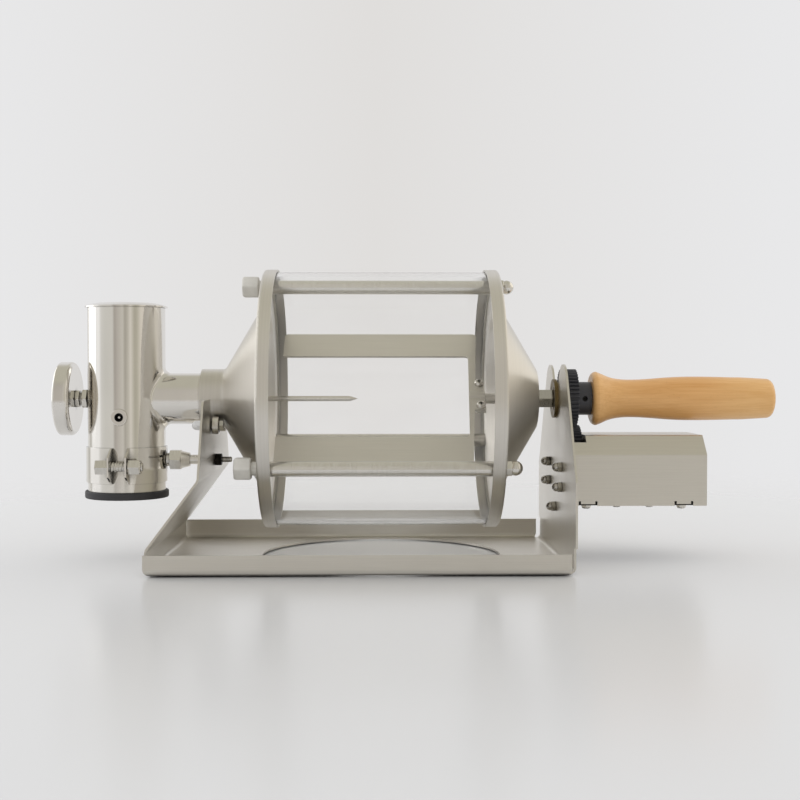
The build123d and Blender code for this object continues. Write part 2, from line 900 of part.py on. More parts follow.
# Turned wooden handle: flared at the gear, a waist, a bulge and a rounded end
handle_throat = handle_start + 0.085 * handle_length
handle_waist = handle_start + 0.25 * handle_length
handle_bulge = handle_start + 0.48 * handle_length
handle_shoulder = handle_start + 0.80 * handle_length
flare_top = (handle_start + handle_flare_edge, handle_flare_radius)
flare_foot = (handle_start, handle_flare_radius - handle_flare_edge)
end_top = (handle_end - handle_end_round, handle_end_radius)
end_foot = (handle_end, handle_end_radius - handle_end_round)
with BuildPart() as wood_handle:
    with BuildSketch(drum_section):
        with BuildLine():
            Polyline((handle_end, 0), (handle_start, 0), flare_foot)
            RadiusArc(flare_foot, flare_top, handle_flare_edge)
            Spline(
                flare_top,
                (handle_throat, handle_throat_radius),
                (handle_waist, handle_waist_radius),
                (handle_bulge, handle_bulge_radius),
                (handle_shoulder, handle_shoulder_radius),
                end_top,
                tangents=((1, -0.3), (1, -0.06)),
            )
            RadiusArc(end_top, end_foot, handle_end_round)
            Line(end_foot, (handle_end, 0))
        make_face()
    revolve(axis=drum_axis)
    with BuildSketch(across(handle_start)):
        Circle(shaft_radius)
    extrude(amount=shaft_handle_grip, mode=Mode.SUBTRACT)
save(wood_handle, "wood_handle")

# Pinion and the motor's output shaft, in mesh below the drum gear
pinion_start = gear_start
pinion_end = pinion_start + pinion_width
bracket_x = pinion_end + bracket_gap
motor_face = bracket_x + bracket_sheet
up_between_teeth = 90.0 + 180.0 / pinion_teeth
pinion_outline = gear_sketch(across(pinion_start, z=pinion_height), pinion_teeth, up_between_teeth)
with BuildPart() as pinion:
    extrude(pinion_outline, amount=pinion_width)
    with BuildSketch(across(pinion_start, z=pinion_height)):
        Circle(motor_shaft_radius)
    extrude(amount=pinion_width, mode=Mode.SUBTRACT)
save(pinion, "pinion")

motor_shaft_grip = gearbox_length / 2
with BuildPart() as motor_shaft:
    with BuildSketch(across(pinion_start, z=pinion_height)):
        Circle(motor_shaft_radius)
    extrude(amount=motor_face + motor_shaft_grip - pinion_start)
save(motor_shaft, "motor_shaft")

# Gear motor: a round gearbox with its shaft off centre, and the motor's can behind
motor_height = pinion_height - motor_offset
with BuildPart() as gear_motor:
    with BuildSketch(across(motor_face, z=motor_height)):
        Circle(motor_radius)
    extrude(amount=gearbox_length)
    with BuildSketch(across(motor_face + gearbox_length, z=motor_height)):
        Circle(can_radius)
    extrude(amount=can_length)
    chamfer(gear_motor.edges().filter_by(GeomType.CIRCLE).sort_by(Axis.X)[-1], can_radius / 8)
    with BuildSketch(across(bracket_x, z=pinion_height)):
        Circle(motor_boss_radius)
    extrude(amount=bracket_sheet)
    with BuildSketch(across(bracket_x, z=pinion_height)):
        Circle(motor_shaft_radius + running_fit)
    extrude(amount=bracket_sheet + motor_shaft_grip, mode=Mode.SUBTRACT)
save(gear_motor, "gear_motor")

# Housing of the motor: a chamfered hood with an end wall, lugs at the stand and screw tabs below
housing_start = right_outer
housing_end = housing_start + housing_length
wall_y = housing_depth / 2
chamfer_y = wall_y - housing_chamfer
chamfer_z = housing_top - housing_chamfer
cover_top = housing_bottom + housing_sheet
tab_z = cover_top + fit_gap
tab_screw_y = wall_y - tab_screw_inset
notch_length = pinion_end + notch_margin - housing_start
notch_half = chamfer_y + notch_depth
motor_jack_x = housing_end - 2 * jack_ring_radius
motor_jack_z = (cover_top + chamfer_z) / 2
hood_line = [
    (-wall_y, housing_bottom),
    (-wall_y, chamfer_z),
    (-chamfer_y, housing_top),
    (chamfer_y, housing_top),
    (wall_y, chamfer_z),
    (wall_y, housing_bottom),
]
tabs_at = [housing_start + tab_inset + tab_width / 2, housing_end - tab_inset - tab_width / 2]
with BuildPart() as motor_housing:
    with BuildSketch(across(housing_start, z=0)):
        with BuildLine():
            FilletPolyline(*hood_line, radius=housing_fold)
            offset(amount=housing_sheet, side=Side.RIGHT)
        make_face()
    extrude(amount=housing_length)
    with BuildSketch(across(housing_end, z=0)):
        with BuildLine():
            FilletPolyline(*hood_line, radius=housing_fold)
            Line(hood_line[-1], hood_line[0])
        make_face()
    extrude(amount=-housing_sheet)
    with BuildSketch(across(housing_start, z=0)):
        for side in (-1, 1):
            with Locations((side * housing_bolt_y, lug_bottom + housing_lug_height / 2)):
                Rectangle(housing_lug_width, housing_lug_height)
        with Locations(*stand_bolts_at[1:]):
            Circle(m4_radius, mode=Mode.SUBTRACT)
    extrude(amount=housing_sheet)
    with BuildSketch(across(housing_start, z=housing_top)):
        Rectangle(2 * notch_half, 2 * notch_depth)
    extrude(amount=notch_length, mode=Mode.SUBTRACT)
    with BuildSketch(table_section):
        for tab_x in tabs_at:
            with Locations((tab_x, housing_bottom)):
                Rectangle(tab_width, tab_z - housing_bottom, align=(Align.CENTER, Align.MIN))
            for edge in (-1, 1):
                with Locations((tab_x + edge * (tab_width - tab_relief) / 2, housing_bottom)):
                    Rectangle(tab_relief, tab_relief_height, align=(Align.CENTER, Align.MIN))
    extrude(amount=housing_depth, both=True, mode=Mode.SUBTRACT)
    with BuildSketch(level(0, tab_z)):
        for side in (-1, 1):
            for tab_x in tabs_at:
                with Locations((tab_x, side * (wall_y - tab_length / 2))):
                    Rectangle(tab_width - 2 * tab_relief, tab_length)
                with Locations((tab_x, side * tab_screw_y)):
                    Circle(m4_radius, mode=Mode.SUBTRACT)
    extrude(amount=housing_sheet)
    with BuildSketch(lengthwise(motor_jack_x, motor_jack_z).offset(-wall_y)):
        Circle(jack_body_radius)
    extrude(amount=housing_sheet, mode=Mode.SUBTRACT)
save(motor_housing, "motor_housing")

# Power jack on the back wall of the housing, with its ring nut
motor_jack_plane = Plane(
    origin=(drum_x + motor_jack_x, wall_y, motor_jack_z), x_dir=(1, 0, 0), z_dir=(0, 1, 0)
)
for name, piece in (("motor_power_jack", jack), ("motor_jack_nut", jack_nut)):
    with BuildPart() as motor_socket:
        with Locations(motor_jack_plane):
            add(piece)
    save(motor_socket, name)

# Bottom cover with a lug bent down against the stand, and the motor's bracket on it
cover_start = housing_start
cover_end = housing_end - housing_sheet - fit_gap
cover_half = wall_y - cover_setback
foot_end = motor_face + foot_length
ear_start = foot_end - foot_ear_length
foot_screws_at = []
cover_screws_at = []
for side in (-1, 1):
    for tab_x in tabs_at:
        cover_screws_at.append((tab_x, side * tab_screw_y))
    for foot_x in (ear_start + foot_screw_inset, foot_end - foot_screw_inset):
        foot_screws_at.append((foot_x, side * (foot_half_width - low_head_radius)))
with BuildPart() as housing_bottom_cover:
    with BuildSketch(level(0, housing_bottom)):
        with Locations((cover_start, 0)):
            Rectangle(cover_end - cover_start, 2 * cover_half, align=(Align.MIN, Align.CENTER))
        with Locations(*cover_screws_at, *foot_screws_at):
            Circle(m4_radius, mode=Mode.SUBTRACT)
    extrude(amount=housing_sheet)
    with BuildSketch(across(cover_start, z=housing_bottom)):
        Rectangle(cover_lug_width, cover_lug_drop, align=(Align.CENTER, Align.MAX))
        with Locations((0, cover_bolt_z - housing_bottom)):
            Circle(m4_radius, mode=Mode.SUBTRACT)
    extrude(amount=housing_sheet)
save(housing_bottom_cover, "housing_bottom_cover")

bracket_top = motor_height + motor_radius
with BuildPart() as motor_bracket:
    with BuildSketch(across(bracket_x, z=cover_top)):
        Rectangle(2 * bracket_half_width, bracket_top - cover_top, align=(Align.CENTER, Align.MIN))
        with Locations((0, pinion_height - cover_top)):
            Circle(motor_boss_radius + fit_gap, mode=Mode.SUBTRACT)
    extrude(amount=bracket_sheet)
    with BuildSketch(level(0, cover_top)):
        with Locations((foot_end, 0)):
            Rectangle(foot_end - bracket_x, 2 * bracket_half_width, align=(Align.MAX, Align.CENTER))
            Rectangle(foot_ear_length, 2 * foot_half_width, align=(Align.MAX, Align.CENTER))
        with Locations(*foot_screws_at):
            Circle(m4_radius, mode=Mode.SUBTRACT)
    extrude(amount=bracket_sheet)
save(motor_bracket, "motor_bracket")

cover_screw = pan_screw(pan_head_radius, pan_head, m4_radius, tab_z + housing_sheet - housing_bottom)
with BuildPart() as cover_screws:
    with Locations(*[(drum_x + x, y, housing_bottom) for x, y in cover_screws_at]):
        add(cover_screw)
save(cover_screws, "cover_screws")

foot_screw = pan_screw(low_head_radius, low_head, m4_radius, housing_sheet + bracket_sheet)
with BuildPart() as bracket_screws:
    with Locations(*[(drum_x + x, y, housing_bottom) for x, y in foot_screws_at]):
        add(foot_screw)
save(bracket_screws, "bracket_screws")

# Bolts that hold the housing and its cover to the right stand, with cap nuts on the inner face
stand_bolt = hex_bolt(m4_flats, m4_head, m4_radius, housing_sheet + sheet + m4_hex)
with BuildPart() as stand_bolts:
    with Locations(*[across_left(housing_start + housing_sheet, y, z) for y, z in stand_bolts_at]):
        add(stand_bolt)
save(stand_bolts, "stand_bolts")

with BuildPart() as stand_nuts:
    with Locations(*[across_left(right_inner, y, z) for y, z in stand_bolts_at]):
        add(m4_cap)
save(stand_nuts, "stand_nuts")

# Chaff collector: an upright tube with a neck pulled out of its side into the drum's collar
neck_radius = collar_radius - sheet - neck_clearance
neck_end = collar_end - neck_insert
tube_axis = Axis((drum_x - tube_x, 0, 0), (0, 0, 1))
tube_inner = tube_radius - tube_wall
jack_height = axis_height - jack_drop
with BuildPart() as collector_tube:
    with BuildSketch(level(-tube_x, tube_bottom)):
        Circle(tube_radius)
    extrude(amount=tube_top - tube_bottom)
    with BuildSketch(across(-tube_x)):
        Circle(neck_radius)
    extrude(amount=tube_x - neck_end)
    seam = collector_tube.edges().filter_by(lambda e: e.geom_type not in (GeomType.LINE, GeomType.CIRCLE))
    fillet(seam, tee_fillet)
    with BuildSketch(level(-tube_x, tube_bottom)):
        Circle(tube_inner)
    extrude(amount=tube_top - tube_bottom, mode=Mode.SUBTRACT)
    with BuildSketch(across(-tube_x)):
        Circle(neck_radius - tube_wall)
    extrude(amount=tube_x - neck_end, mode=Mode.SUBTRACT)
    with BuildSketch(across(-tube_x)):
        Circle(gland_radius)
    extrude(amount=-tube_radius, mode=Mode.SUBTRACT)
    with BuildSketch(lengthwise(-tube_x, jack_height)):
        Circle(jack_body_radius)
    extrude(amount=tube_radius, mode=Mode.SUBTRACT)
save(collector_tube, "collector_tube")

# Lid with a raised flat top, curved shoulders and a skirt inside the tube
lid_radius = tube_radius + lid_overhang
lid_seat = tube_top + fit_gap
lid_top = lid_thickness + lid_crown
lid_top_radius = lid_radius - lid_shoulder
skirt_radius = tube_inner - part_gap
with BuildPart() as collector_lid:
    with BuildSketch(lengthwise(-tube_x, lid_seat)):
        with BuildLine():
            Polyline(
                (0, 0),
                (skirt_radius - tube_wall, 0),
                (skirt_radius - tube_wall, -lid_skirt),
                (skirt_radius, -lid_skirt),
                (skirt_radius, 0),
                (lid_radius, 0),
                (lid_radius, lid_thickness),
            )
            TangentArc((lid_top_radius, lid_top), (lid_radius, lid_thickness), tangent=(1, 0))
            Polyline((lid_top_radius, lid_top), (0, lid_top), (0, 0))
        make_face()
    revolve(axis=tube_axis)
save(collector_lid, "collector_lid")

# Rubber ring gripping the bottom edge of the tube
ring_bottom = tube_bottom - ring_floor
with BuildPart() as rubber_ring:
    with BuildSketch(lengthwise(-tube_x, ring_bottom)):
        with BuildLine():
            Polyline(
                (tube_inner - ring_lip, 0),
                (tube_radius + ring_overhang, 0),
                (tube_radius + ring_overhang, ring_height),
                (tube_radius, ring_height),
                (tube_radius, ring_floor),
                (tube_inner, ring_floor),
                (tube_inner, ring_height),
                (tube_inner - ring_lip, ring_height),
                close=True,
            )
        make_face()
    revolve(axis=tube_axis)
    outer_edges = rubber_ring.edges().filter_by(GeomType.CIRCLE).group_by(SortBy.RADIUS)[-1]
    fillet(outer_edges, ring_overhang / 2)
save(rubber_ring, "rubber_ring")

# Band clamp round the tube: two ears bent outwards at the front, drawn together by a bolt
band_inner = tube_radius + fit_gap
band_radius = band_inner + clamp_band
ear_y = band_radius + ear_length
ear_x = clamp_gap / 2
clamp_bolt_y = ear_y - clamp_bolt_inset
clamp_along = (cos(radians(clamp_turn)), sin(radians(clamp_turn)), 0)
clamp_back = (-sin(radians(clamp_turn)), cos(radians(clamp_turn)), 0)
clamp_level = Plane(origin=(drum_x - tube_x, 0, clamp_height), x_dir=clamp_along, z_dir=(0, 0, 1))
clamp_across = Plane(origin=clamp_level.origin, x_dir=clamp_back, z_dir=clamp_along)
slot_turn = radians(clamp_turn + clamp_slot_angle)
slot_plane = Plane(
    origin=(drum_x - tube_x, 0, clamp_height + clamp_slot_rise),
    x_dir=(cos(slot_turn), sin(slot_turn), 0),
    z_dir=(sin(slot_turn), -cos(slot_turn), 0),
)
with BuildPart() as band_clamp:
    with BuildSketch(clamp_level):
        Circle(band_radius)
        with Locations((-ear_x - clamp_band / 2, 0), (ear_x + clamp_band / 2, 0)):
            Rectangle(clamp_band, ear_y, align=(Align.CENTER, Align.MAX))
        Circle(band_inner, mode=Mode.SUBTRACT)
        Rectangle(clamp_gap, 2 * ear_y, align=(Align.CENTER, Align.MAX), mode=Mode.SUBTRACT)
    extrude(amount=clamp_width / 2, both=True)
    with BuildSketch(slot_plane):
        SlotOverall(clamp_slot_length, clamp_slot_width)
    extrude(amount=band_radius, mode=Mode.SUBTRACT)
    with BuildSketch(clamp_across):
        for side in (-1, 1):
            with BuildLine():
                Polyline(
                    (-band_radius, side * clamp_width / 2),
                    (-ear_y, side * ear_tip_width / 2),
                    (-ear_y, side * clamp_width / 2),
                    close=True,
                )
            make_face()
        with Locations((-clamp_bolt_y, 0)):
            Circle(m6_radius)
    extrude(amount=clamp_gap, both=True, mode=Mode.SUBTRACT)
save(band_clamp, "band_clamp")

ear_outside = ear_x + clamp_band
clamp_bolt_length = 2 * ear_outside + clamp_nut_length + clamp_bolt_tip
bolt_line = Plane(
    origin=clamp_across.from_local_coords((-clamp_bolt_y, 0, 0)), x_dir=clamp_back, z_dir=clamp_along
)
with BuildPart() as clamp_bolt:
    with Locations(bolt_line.offset(-ear_outside)):
        add(hex_bolt(m6_flats, clamp_head, m6_radius, clamp_bolt_length))
save(clamp_bolt, "clamp_bolt")

with BuildPart() as clamp_nut:
    with Locations(bolt_line.offset(ear_outside)):
        add(hex_nut(m6_flats, clamp_nut_length, m6_radius))
save(clamp_nut, "clamp_nut")

# Stud from the clamp through the left stand, with its union nut and its lock nut
stud_start = -tube_x + band_radius
union_start = stud_start + stud_root_length
union_end = union_start + union_length
taper_end = union_end + stud_taper_length
neck_end_x = -left_outer - fit_gap
stud_end = -left_inner + lock_nut_height + fit_gap + stud_tip
stud_point = stud_radius / 4
with BuildPart() as support_stud:
    with BuildSketch(lengthwise(0, stud_height)):
        with BuildLine():
            Polyline(
                (stud_start, 0),
                (stud_start, stud_root_radius),
                (union_end, stud_root_radius),
                (union_end, stud_taper_radius),
                (taper_end, stud_root_radius),
                (taper_end, stud_neck_radius),
                (neck_end_x, stud_neck_radius),
                (neck_end_x, stud_radius),
                (stud_end - stud_point, stud_radius),
                (stud_end, stud_radius - stud_point),
                (stud_end, 0),
                close=True,
            )
        make_face()
    revolve(axis=Axis((drum_x, 0, stud_height), (1, 0, 0)))
save(support_stud, "support_stud")

with BuildPart() as stud_union_nut:
    with Locations(across(union_start, z=stud_height)):
        add(hex_nut(union_flats, union_length, stud_root_radius))
    with BuildSketch(lengthwise(0, stud_height)):
        with BuildLine():
            Polyline(
                (union_start, 0),
                (union_start, union_flats / 2),
                (union_start + union_chamfer, union_flats / 2 + 2 * union_chamfer),
                (union_end - union_chamfer, union_flats / 2 + 2 * union_chamfer),
                (union_end, union_flats / 2),
                (union_end, 0),
                close=True,
            )
        make_face()
    revolve(axis=Axis((drum_x, 0, stud_height), (1, 0, 0)), mode=Mode.INTERSECT)
save(stud_union_nut, "stud_union_nut")

with BuildPart() as stud_lock_nut:
    with Locations(across(fit_gap - left_inner, z=stud_height)):
        add(hex_nut(lock_nut_flats, lock_nut_height, stud_radius + running_fit))
save(stud_lock_nut, "stud_lock_nut")

# Power jack on the front of the tube, with its ring nut
for name, piece in (("fan_power_jack", jack), ("fan_jack_nut", jack_nut)):
    with BuildPart() as fan_socket:
        with Locations(lengthwise(-tube_x, jack_height).offset(tube_radius)):
            add(piece)
    save(fan_socket, name)

# Inside the tube: a perforated screen that stops the chaff, with the fan and its motor below
screen_height = axis_height - screen_drop
with BuildPart() as chaff_screen:
    with BuildSketch(level(-tube_x, screen_height)):
        Circle(tube_inner - fit_gap)
        Circle(screen_hole_radius, mode=Mode.SUBTRACT)
        for ring in range(1, screen_rings + 1):
            with PolarLocations(ring * screen_hole_pitch, 6 * ring):
                Circle(screen_hole_radius, mode=Mode.SUBTRACT)
    extrude(amount=screen_thickness)
save(chaff_screen, "chaff_screen")

fan_bottom = axis_height - fan_drop - fan_hub_height
motor_top = fan_bottom - end_play
blade_reach = tube_inner - fan_tip_gap
blade_start = fan_hub_radius - fan_blade_thickness
with BuildPart() as fan_impeller:
    with BuildSketch(level(-tube_x, fan_bottom)):
        Circle(fan_hub_radius)
    extrude(amount=fan_hub_height)
    with Locations(level(-tube_x, fan_bottom + fan_hub_height / 2)):
        with PolarLocations((blade_start + blade_reach) / 2, fan_blades):
            Box(
                blade_reach - blade_start,
                fan_hub_height,
                fan_blade_thickness,
                rotation=(fan_blade_pitch, 0, 0),
            )
    with BuildSketch(level(-tube_x, fan_bottom)):
        Circle(fan_shaft_radius)
    extrude(amount=-fan_shaft_length)
save(fan_impeller, "fan_impeller")

with BuildPart() as fan_motor:
    with BuildSketch(level(-tube_x, motor_top)):
        Circle(fan_motor_radius)
    extrude(amount=-fan_motor_length)
    with BuildSketch(level(-tube_x, motor_top)):
        Circle(fan_shaft_radius + running_fit)
    extrude(amount=-fan_shaft_length, mode=Mode.SUBTRACT)
save(fan_motor, "fan_motor")

mount_bottom = motor_top - fan_motor_length - mount_cup_wall
cup_radius = fan_motor_radius + mount_cup_wall
arm_length = tube_inner - fit_gap - cup_radius
with BuildPart() as fan_mount:
    with BuildSketch(level(-tube_x, mount_bottom)):
        Circle(tube_inner - fit_gap)
        Circle(tube_inner - fit_gap - mount_ring, mode=Mode.SUBTRACT)
        with PolarLocations(cup_radius + arm_length / 2 - mount_ring / 2, 3, start_angle=30):
            Rectangle(arm_length, mount_arm_width)
        Circle(cup_radius)
    extrude(amount=mount_height)
    with BuildSketch(level(-tube_x, mount_bottom + mount_cup_wall)):
        Circle(fan_motor_radius)
    extrude(amount=mount_height, mode=Mode.SUBTRACT)
save(fan_mount, "fan_mount")

# Dial thermometer: its stem runs through the tube and the neck to the middle of the drum
with BuildPart() as thermometer_stem:
    with BuildSketch(drum_section):
        with BuildLine():
            Polyline(
                (-case_back, 0),
                (-case_back, gland_radius),
                (gland_lock_height * 2 - tube_x - tube_inner, gland_radius),
                (gland_lock_height * 2 - tube_x - tube_inner, stem_radius),
                (-stem_reach - stem_tip, stem_radius),
                (-stem_reach, 0),
                close=True,
            )
        make_face()
    revolve(axis=drum_axis)
save(thermometer_stem, "thermometer_stem")

with BuildPart() as gland_nut:
    with Locations(across(-case_back)):
        add(hex_nut(gland_flats, gland_nut_height, gland_radius))
save(gland_nut, "gland_nut")

inner_nut_corner = gland_lock_flats / sqrt(3)
inner_nut_x = -sqrt(tube_inner**2 - inner_nut_corner**2)
lock_nut = hex_nut(gland_lock_flats, gland_lock_height, gland_radius)
with BuildPart() as gland_lock_nuts:
    with Locations(
        across(-tube_x - tube_radius - gland_lock_height), across(-tube_x + inner_nut_x + fit_gap)
    ):
        add(lock_nut)
save(gland_lock_nuts, "gland_lock_nuts")

# The case: a drawn cup with a flat back and a rounded shoulder, its bezel turned in over the lens
with BuildPart() as thermometer_case:
    with BuildSketch(drum_section):
        with BuildLine():
            FilletPolyline(
                (-case_back, 0),
                (-case_back, dial_radius),
                (-dial_face, dial_radius),
                (-dial_face, dial_radius - bezel_lip),
                radius=[case_shoulder, bezel_round],
            )
            Polyline(
                (-dial_face, dial_radius - bezel_lip),
                (dial_wall - dial_face, dial_radius - bezel_lip),
                (dial_wall - dial_face, dial_radius - dial_wall),
            )
            FilletPolyline(
                (dial_wall - dial_face, dial_radius - dial_wall),
                (-case_back - dial_wall, dial_radius - dial_wall),
                (-case_back - dial_wall, 0),
                radius=case_shoulder - dial_wall,
            )
            Line((-case_back - dial_wall, 0), (-case_back, 0))
        make_face()
    revolve(axis=drum_axis)
save(thermometer_case, "thermometer_case")

with BuildPart() as dial_plate:
    with BuildSketch(across_left(-plate_back)):
        Circle(dial_radius - dial_wall)
    extrude(amount=dial_plate_thickness)
    with BuildSketch(across_left(-plate_back)):
        Circle(pivot_radius)
    extrude(amount=lens_back - plate_back)
save(dial_plate, "dial_plate")

with BuildPart() as dial_lens:
    with BuildSketch(across_left(-lens_back)):
        Circle(dial_radius - dial_wall)
    extrude(amount=lens_thickness)
save(dial_lens, "dial_lens")

pointer_turn = radians(pointer_rest)
pointer_plane = Plane(
    origin=(drum_x - pointer_back, 0, axis_height),
    x_dir=(0, cos(pointer_turn), sin(pointer_turn)),
    z_dir=(1, 0, 0),
)
with BuildPart() as dial_pointer:
    with BuildSketch(pointer_plane):
        with BuildLine():
            Polyline(
                (-pointer_tail, -3 * pivot_radius),
                (pointer_length, 0),
                (-pointer_tail, 3 * pivot_radius),
                close=True,
            )
        make_face()
        Circle(4 * pivot_radius)
        Circle(pivot_radius + running_fit, mode=Mode.SUBTRACT)
    extrude(amount=-pointer_thickness)
save(dial_pointer, "dial_pointer")
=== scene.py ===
"""Gas coffee roaster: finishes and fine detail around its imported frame, with a plain studio."""

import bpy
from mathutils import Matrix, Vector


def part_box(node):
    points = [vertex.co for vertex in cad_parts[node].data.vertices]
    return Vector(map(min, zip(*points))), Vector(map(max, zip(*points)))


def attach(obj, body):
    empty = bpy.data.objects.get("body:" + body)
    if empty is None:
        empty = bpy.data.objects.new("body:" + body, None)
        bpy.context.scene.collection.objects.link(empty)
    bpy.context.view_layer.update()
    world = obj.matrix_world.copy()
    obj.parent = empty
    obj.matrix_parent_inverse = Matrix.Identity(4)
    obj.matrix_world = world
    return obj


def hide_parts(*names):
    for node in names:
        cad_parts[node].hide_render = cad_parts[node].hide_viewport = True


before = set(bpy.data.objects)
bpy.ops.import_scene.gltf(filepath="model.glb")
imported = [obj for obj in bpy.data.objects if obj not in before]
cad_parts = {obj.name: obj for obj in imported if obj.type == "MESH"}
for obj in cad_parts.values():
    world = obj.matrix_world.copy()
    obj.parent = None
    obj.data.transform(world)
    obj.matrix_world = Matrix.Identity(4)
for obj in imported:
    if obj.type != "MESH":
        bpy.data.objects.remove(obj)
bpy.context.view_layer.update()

from math import atan2, cos, pi, radians, sin

import bmesh
import bpy
from bpy.props import FloatProperty, FloatVectorProperty, IntProperty, PointerProperty
from mathutils import Euler, Matrix, Vector

bl_info = {
    "name": "Gas coffee roaster",
    "version": (1, 0, 0),
    "blender": (4, 5, 0),
    "location": "3D View > Sidebar > Roaster",
    "description": "Dresses the packed gas coffee roaster with its finishes and fine detail",
    "category": "Object",
}

MM = 0.001
DRUM_LOW, DRUM_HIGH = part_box("glass_cylinder")
DRUM_MIDDLE_X = 0.5 * (DRUM_LOW[0] + DRUM_HIGH[0])
DRUM_AXIS_Z = 0.5 * (DRUM_LOW[2] + DRUM_HIGH[2])


def linear(code):
    """The linear colour of an sRGB hex code such as "#C4BFB6"."""
    shares = [int(code[i : i + 2], 16) / 255 for i in (1, 3, 5)]
    return tuple(s / 12.92 if s <= 0.04045 else ((s + 0.055) / 1.055) ** 2.4 for s in shares)


def opaque(rgb):
    """A colour with full alpha, as sockets want it."""
    return (*rgb, 1.0)


def shade(rgb, share):
    """A colour made darker or lighter by a share."""
    return tuple(min(1.0, part * share) for part in rgb)


def feed(tree, node, inputs):
    """Sets a node's inputs, each to a plain value or from the socket or node that feeds it."""
    for key, value in inputs.items():
        if isinstance(value, bpy.types.Node):
            value = next(socket for socket in value.outputs if socket.enabled)
        if isinstance(value, bpy.types.NodeSocket):
            tree.links.new(value, node.inputs[key])
        else:
            node.inputs[key].default_value = value


def add(tree, kind, inputs=None, stops=(), **settings):
    """A new node with its settings, its inputs and, for a ramp, its (position, colour) stops."""
    node = tree.nodes.new(kind)
    for name, value in settings.items():
        setattr(node, name, value)
    feed(tree, node, inputs or {})
    if stops:
        elements = node.color_ramp.elements
        while len(elements) < len(stops):
            elements.new(0.5)
        for element, (position, rgb) in zip(elements, stops):
            element.position = position
            element.color = opaque(rgb)
    return node


def in_mm(name, description, size):
    """A length property with its default in millimetres."""
    return FloatProperty(name=name, description=description, default=size * MM, unit="LENGTH")


def in_degrees(name, description, turn):
    """An angle property with its default in degrees."""
    return FloatProperty(name=name, description=description, default=radians(turn), subtype="ANGLE")


def colour(name, description, code):
    """A colour property with an sRGB hex default."""
    return FloatVectorProperty(
        name=name, description=description, default=linear(code), subtype="COLOR", min=0, max=1
    )


class RoasterSizes(bpy.types.PropertyGroup):
    """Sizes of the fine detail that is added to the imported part."""

    clamp_pitch: in_mm("Clamp bolt pitch", "Distance between the turns of the bolt's thread", 2.3)
    clamp_ridge: in_mm("Clamp bolt ridge", "Radius at the middle of the bolt's thread", 2.75)
    stud_pitch: in_mm("Stud pitch", "Distance between the turns of the stud's thread", 0.9)
    stud_ridge: in_mm("Stud ridge", "Radius at the middle of the stud's thread", 1.8)
    gland_pitch: in_mm("Gland pitch", "Distance between the turns of the gland's thread", 1.25)
    gland_ridge: in_mm("Gland ridge", "Radius at the middle of the gland's thread", 4.5)
    clamp_turn: in_degrees("Clamp turn", "How far the band clamp is turned on the tube", 1)
    clamp_gap: in_mm("Clamp gap", "Distance between the outer faces of the clamp's two ears", 13.8)
    vane_angle: in_degrees("Vane angle", "How steeply the vane frame stands in the drum at rest", 38)
    knob_corner: FloatProperty(
        name="Knob corner", description="Sharpness of the hand knobs' six corners", default=26.0
    )
    pin_radius: in_mm("Socket pin radius", "Radius of the pin in each power socket", 1.08)
    pin_depth: in_mm("Socket pin depth", "How far the pin's tip stands back in its power socket", 1.3)
    dial_steps: IntProperty(
        name="Dial steps", description="Number of steps between the dial's marks", default=60
    )
    dial_top: IntProperty(
        name="Dial top", description="Degrees Celsius at the end of the dial's sweep", default=300
    )
    dial_sweep: in_degrees("Dial sweep", "Angle between the dial's first and last mark", 270)
    figure_height: in_mm("Figure height", "Height of the numbers on the dial", 4.6)


class RoasterColours(bpy.types.PropertyGroup):
    """Colours of the roaster's materials."""

    sheet: colour("Sheet", "Rolled stainless sheet", "#DAD6CE")
    spun: colour("Caps", "Spun stainless of the drum's end caps", "#E2DED7")
    mirror: colour("Mirror", "Polished stainless of the chaff collector", "#E8E5E0")
    bright: colour("Bright steel", "Bolts, nuts and rods", "#E0DDD7")
    # The bottom cover takes this black as painted shade for the dark gap under the housing's tabs
    dark: colour("Dark steel", "Blackened lock nut, set screw and bottom cover", "#2A2927")
    # Darker than bright brass, as painted shade for the bush's place between the cone and the stand
    brass: colour("Brass", "Flanged bush", "#7A6A49")
    rubber: colour("Rubber", "Ring under the chaff collector", "#3A393C")
    nylon: colour("Gears", "Black gears", "#3C3C41")
    plastic: colour("Plastic", "Power sockets and fan", "#161617")
    silicone: colour("Silicone", "Seals at the glass", "#C9C6BE")
    knob: colour("Knobs", "Hand knobs", "#D4D1CA")
    wood_pale: colour("Pale wood", "Early wood of the handle", "#F0C388")
    wood_dark: colour("Dark wood", "Late wood of the handle", "#D7A362")
    dial: colour("Dial", "Face of the thermometer", "#F0EFEA")
    ink: colour("Ink", "Marks, numbers and pointer of the thermometer", "#141416")


# A noise keeps to this range over most of a surface
NOISE_LOW, NOISE_HIGH = 0.3, 0.7
NOISE_RANGE = {"From Min": NOISE_LOW, "From Max": NOISE_HIGH}
# A Mix node's two colour sockets, whose names other sockets share
MIX_A, MIX_B = 6, 7


def new_material(name, values):
    """A new material's tree, its shader with its plain values set, and its Object coordinates."""
    material = bpy.data.materials.new(name)
    material.use_nodes = True
    tree = material.node_tree
    shader = tree.nodes["Principled BSDF"]
    feed(tree, shader, values)
    return tree, shader, add(tree, "ShaderNodeTexCoord").outputs["Object"]


def grain(tree, place, width, stretch=(1, 1, 1), detail=3.0):
    """A pattern whose features are width millimetres wide, times the stretch along each axis."""
    placed = add(tree, "ShaderNodeMapping", {"Vector": place, "Scale": [1 / s for s in stretch]})
    scale = 1 / (width * MM)
    return add(tree, "ShaderNodeTexNoise", {"Vector": placed, "Scale": scale, "Detail": detail})


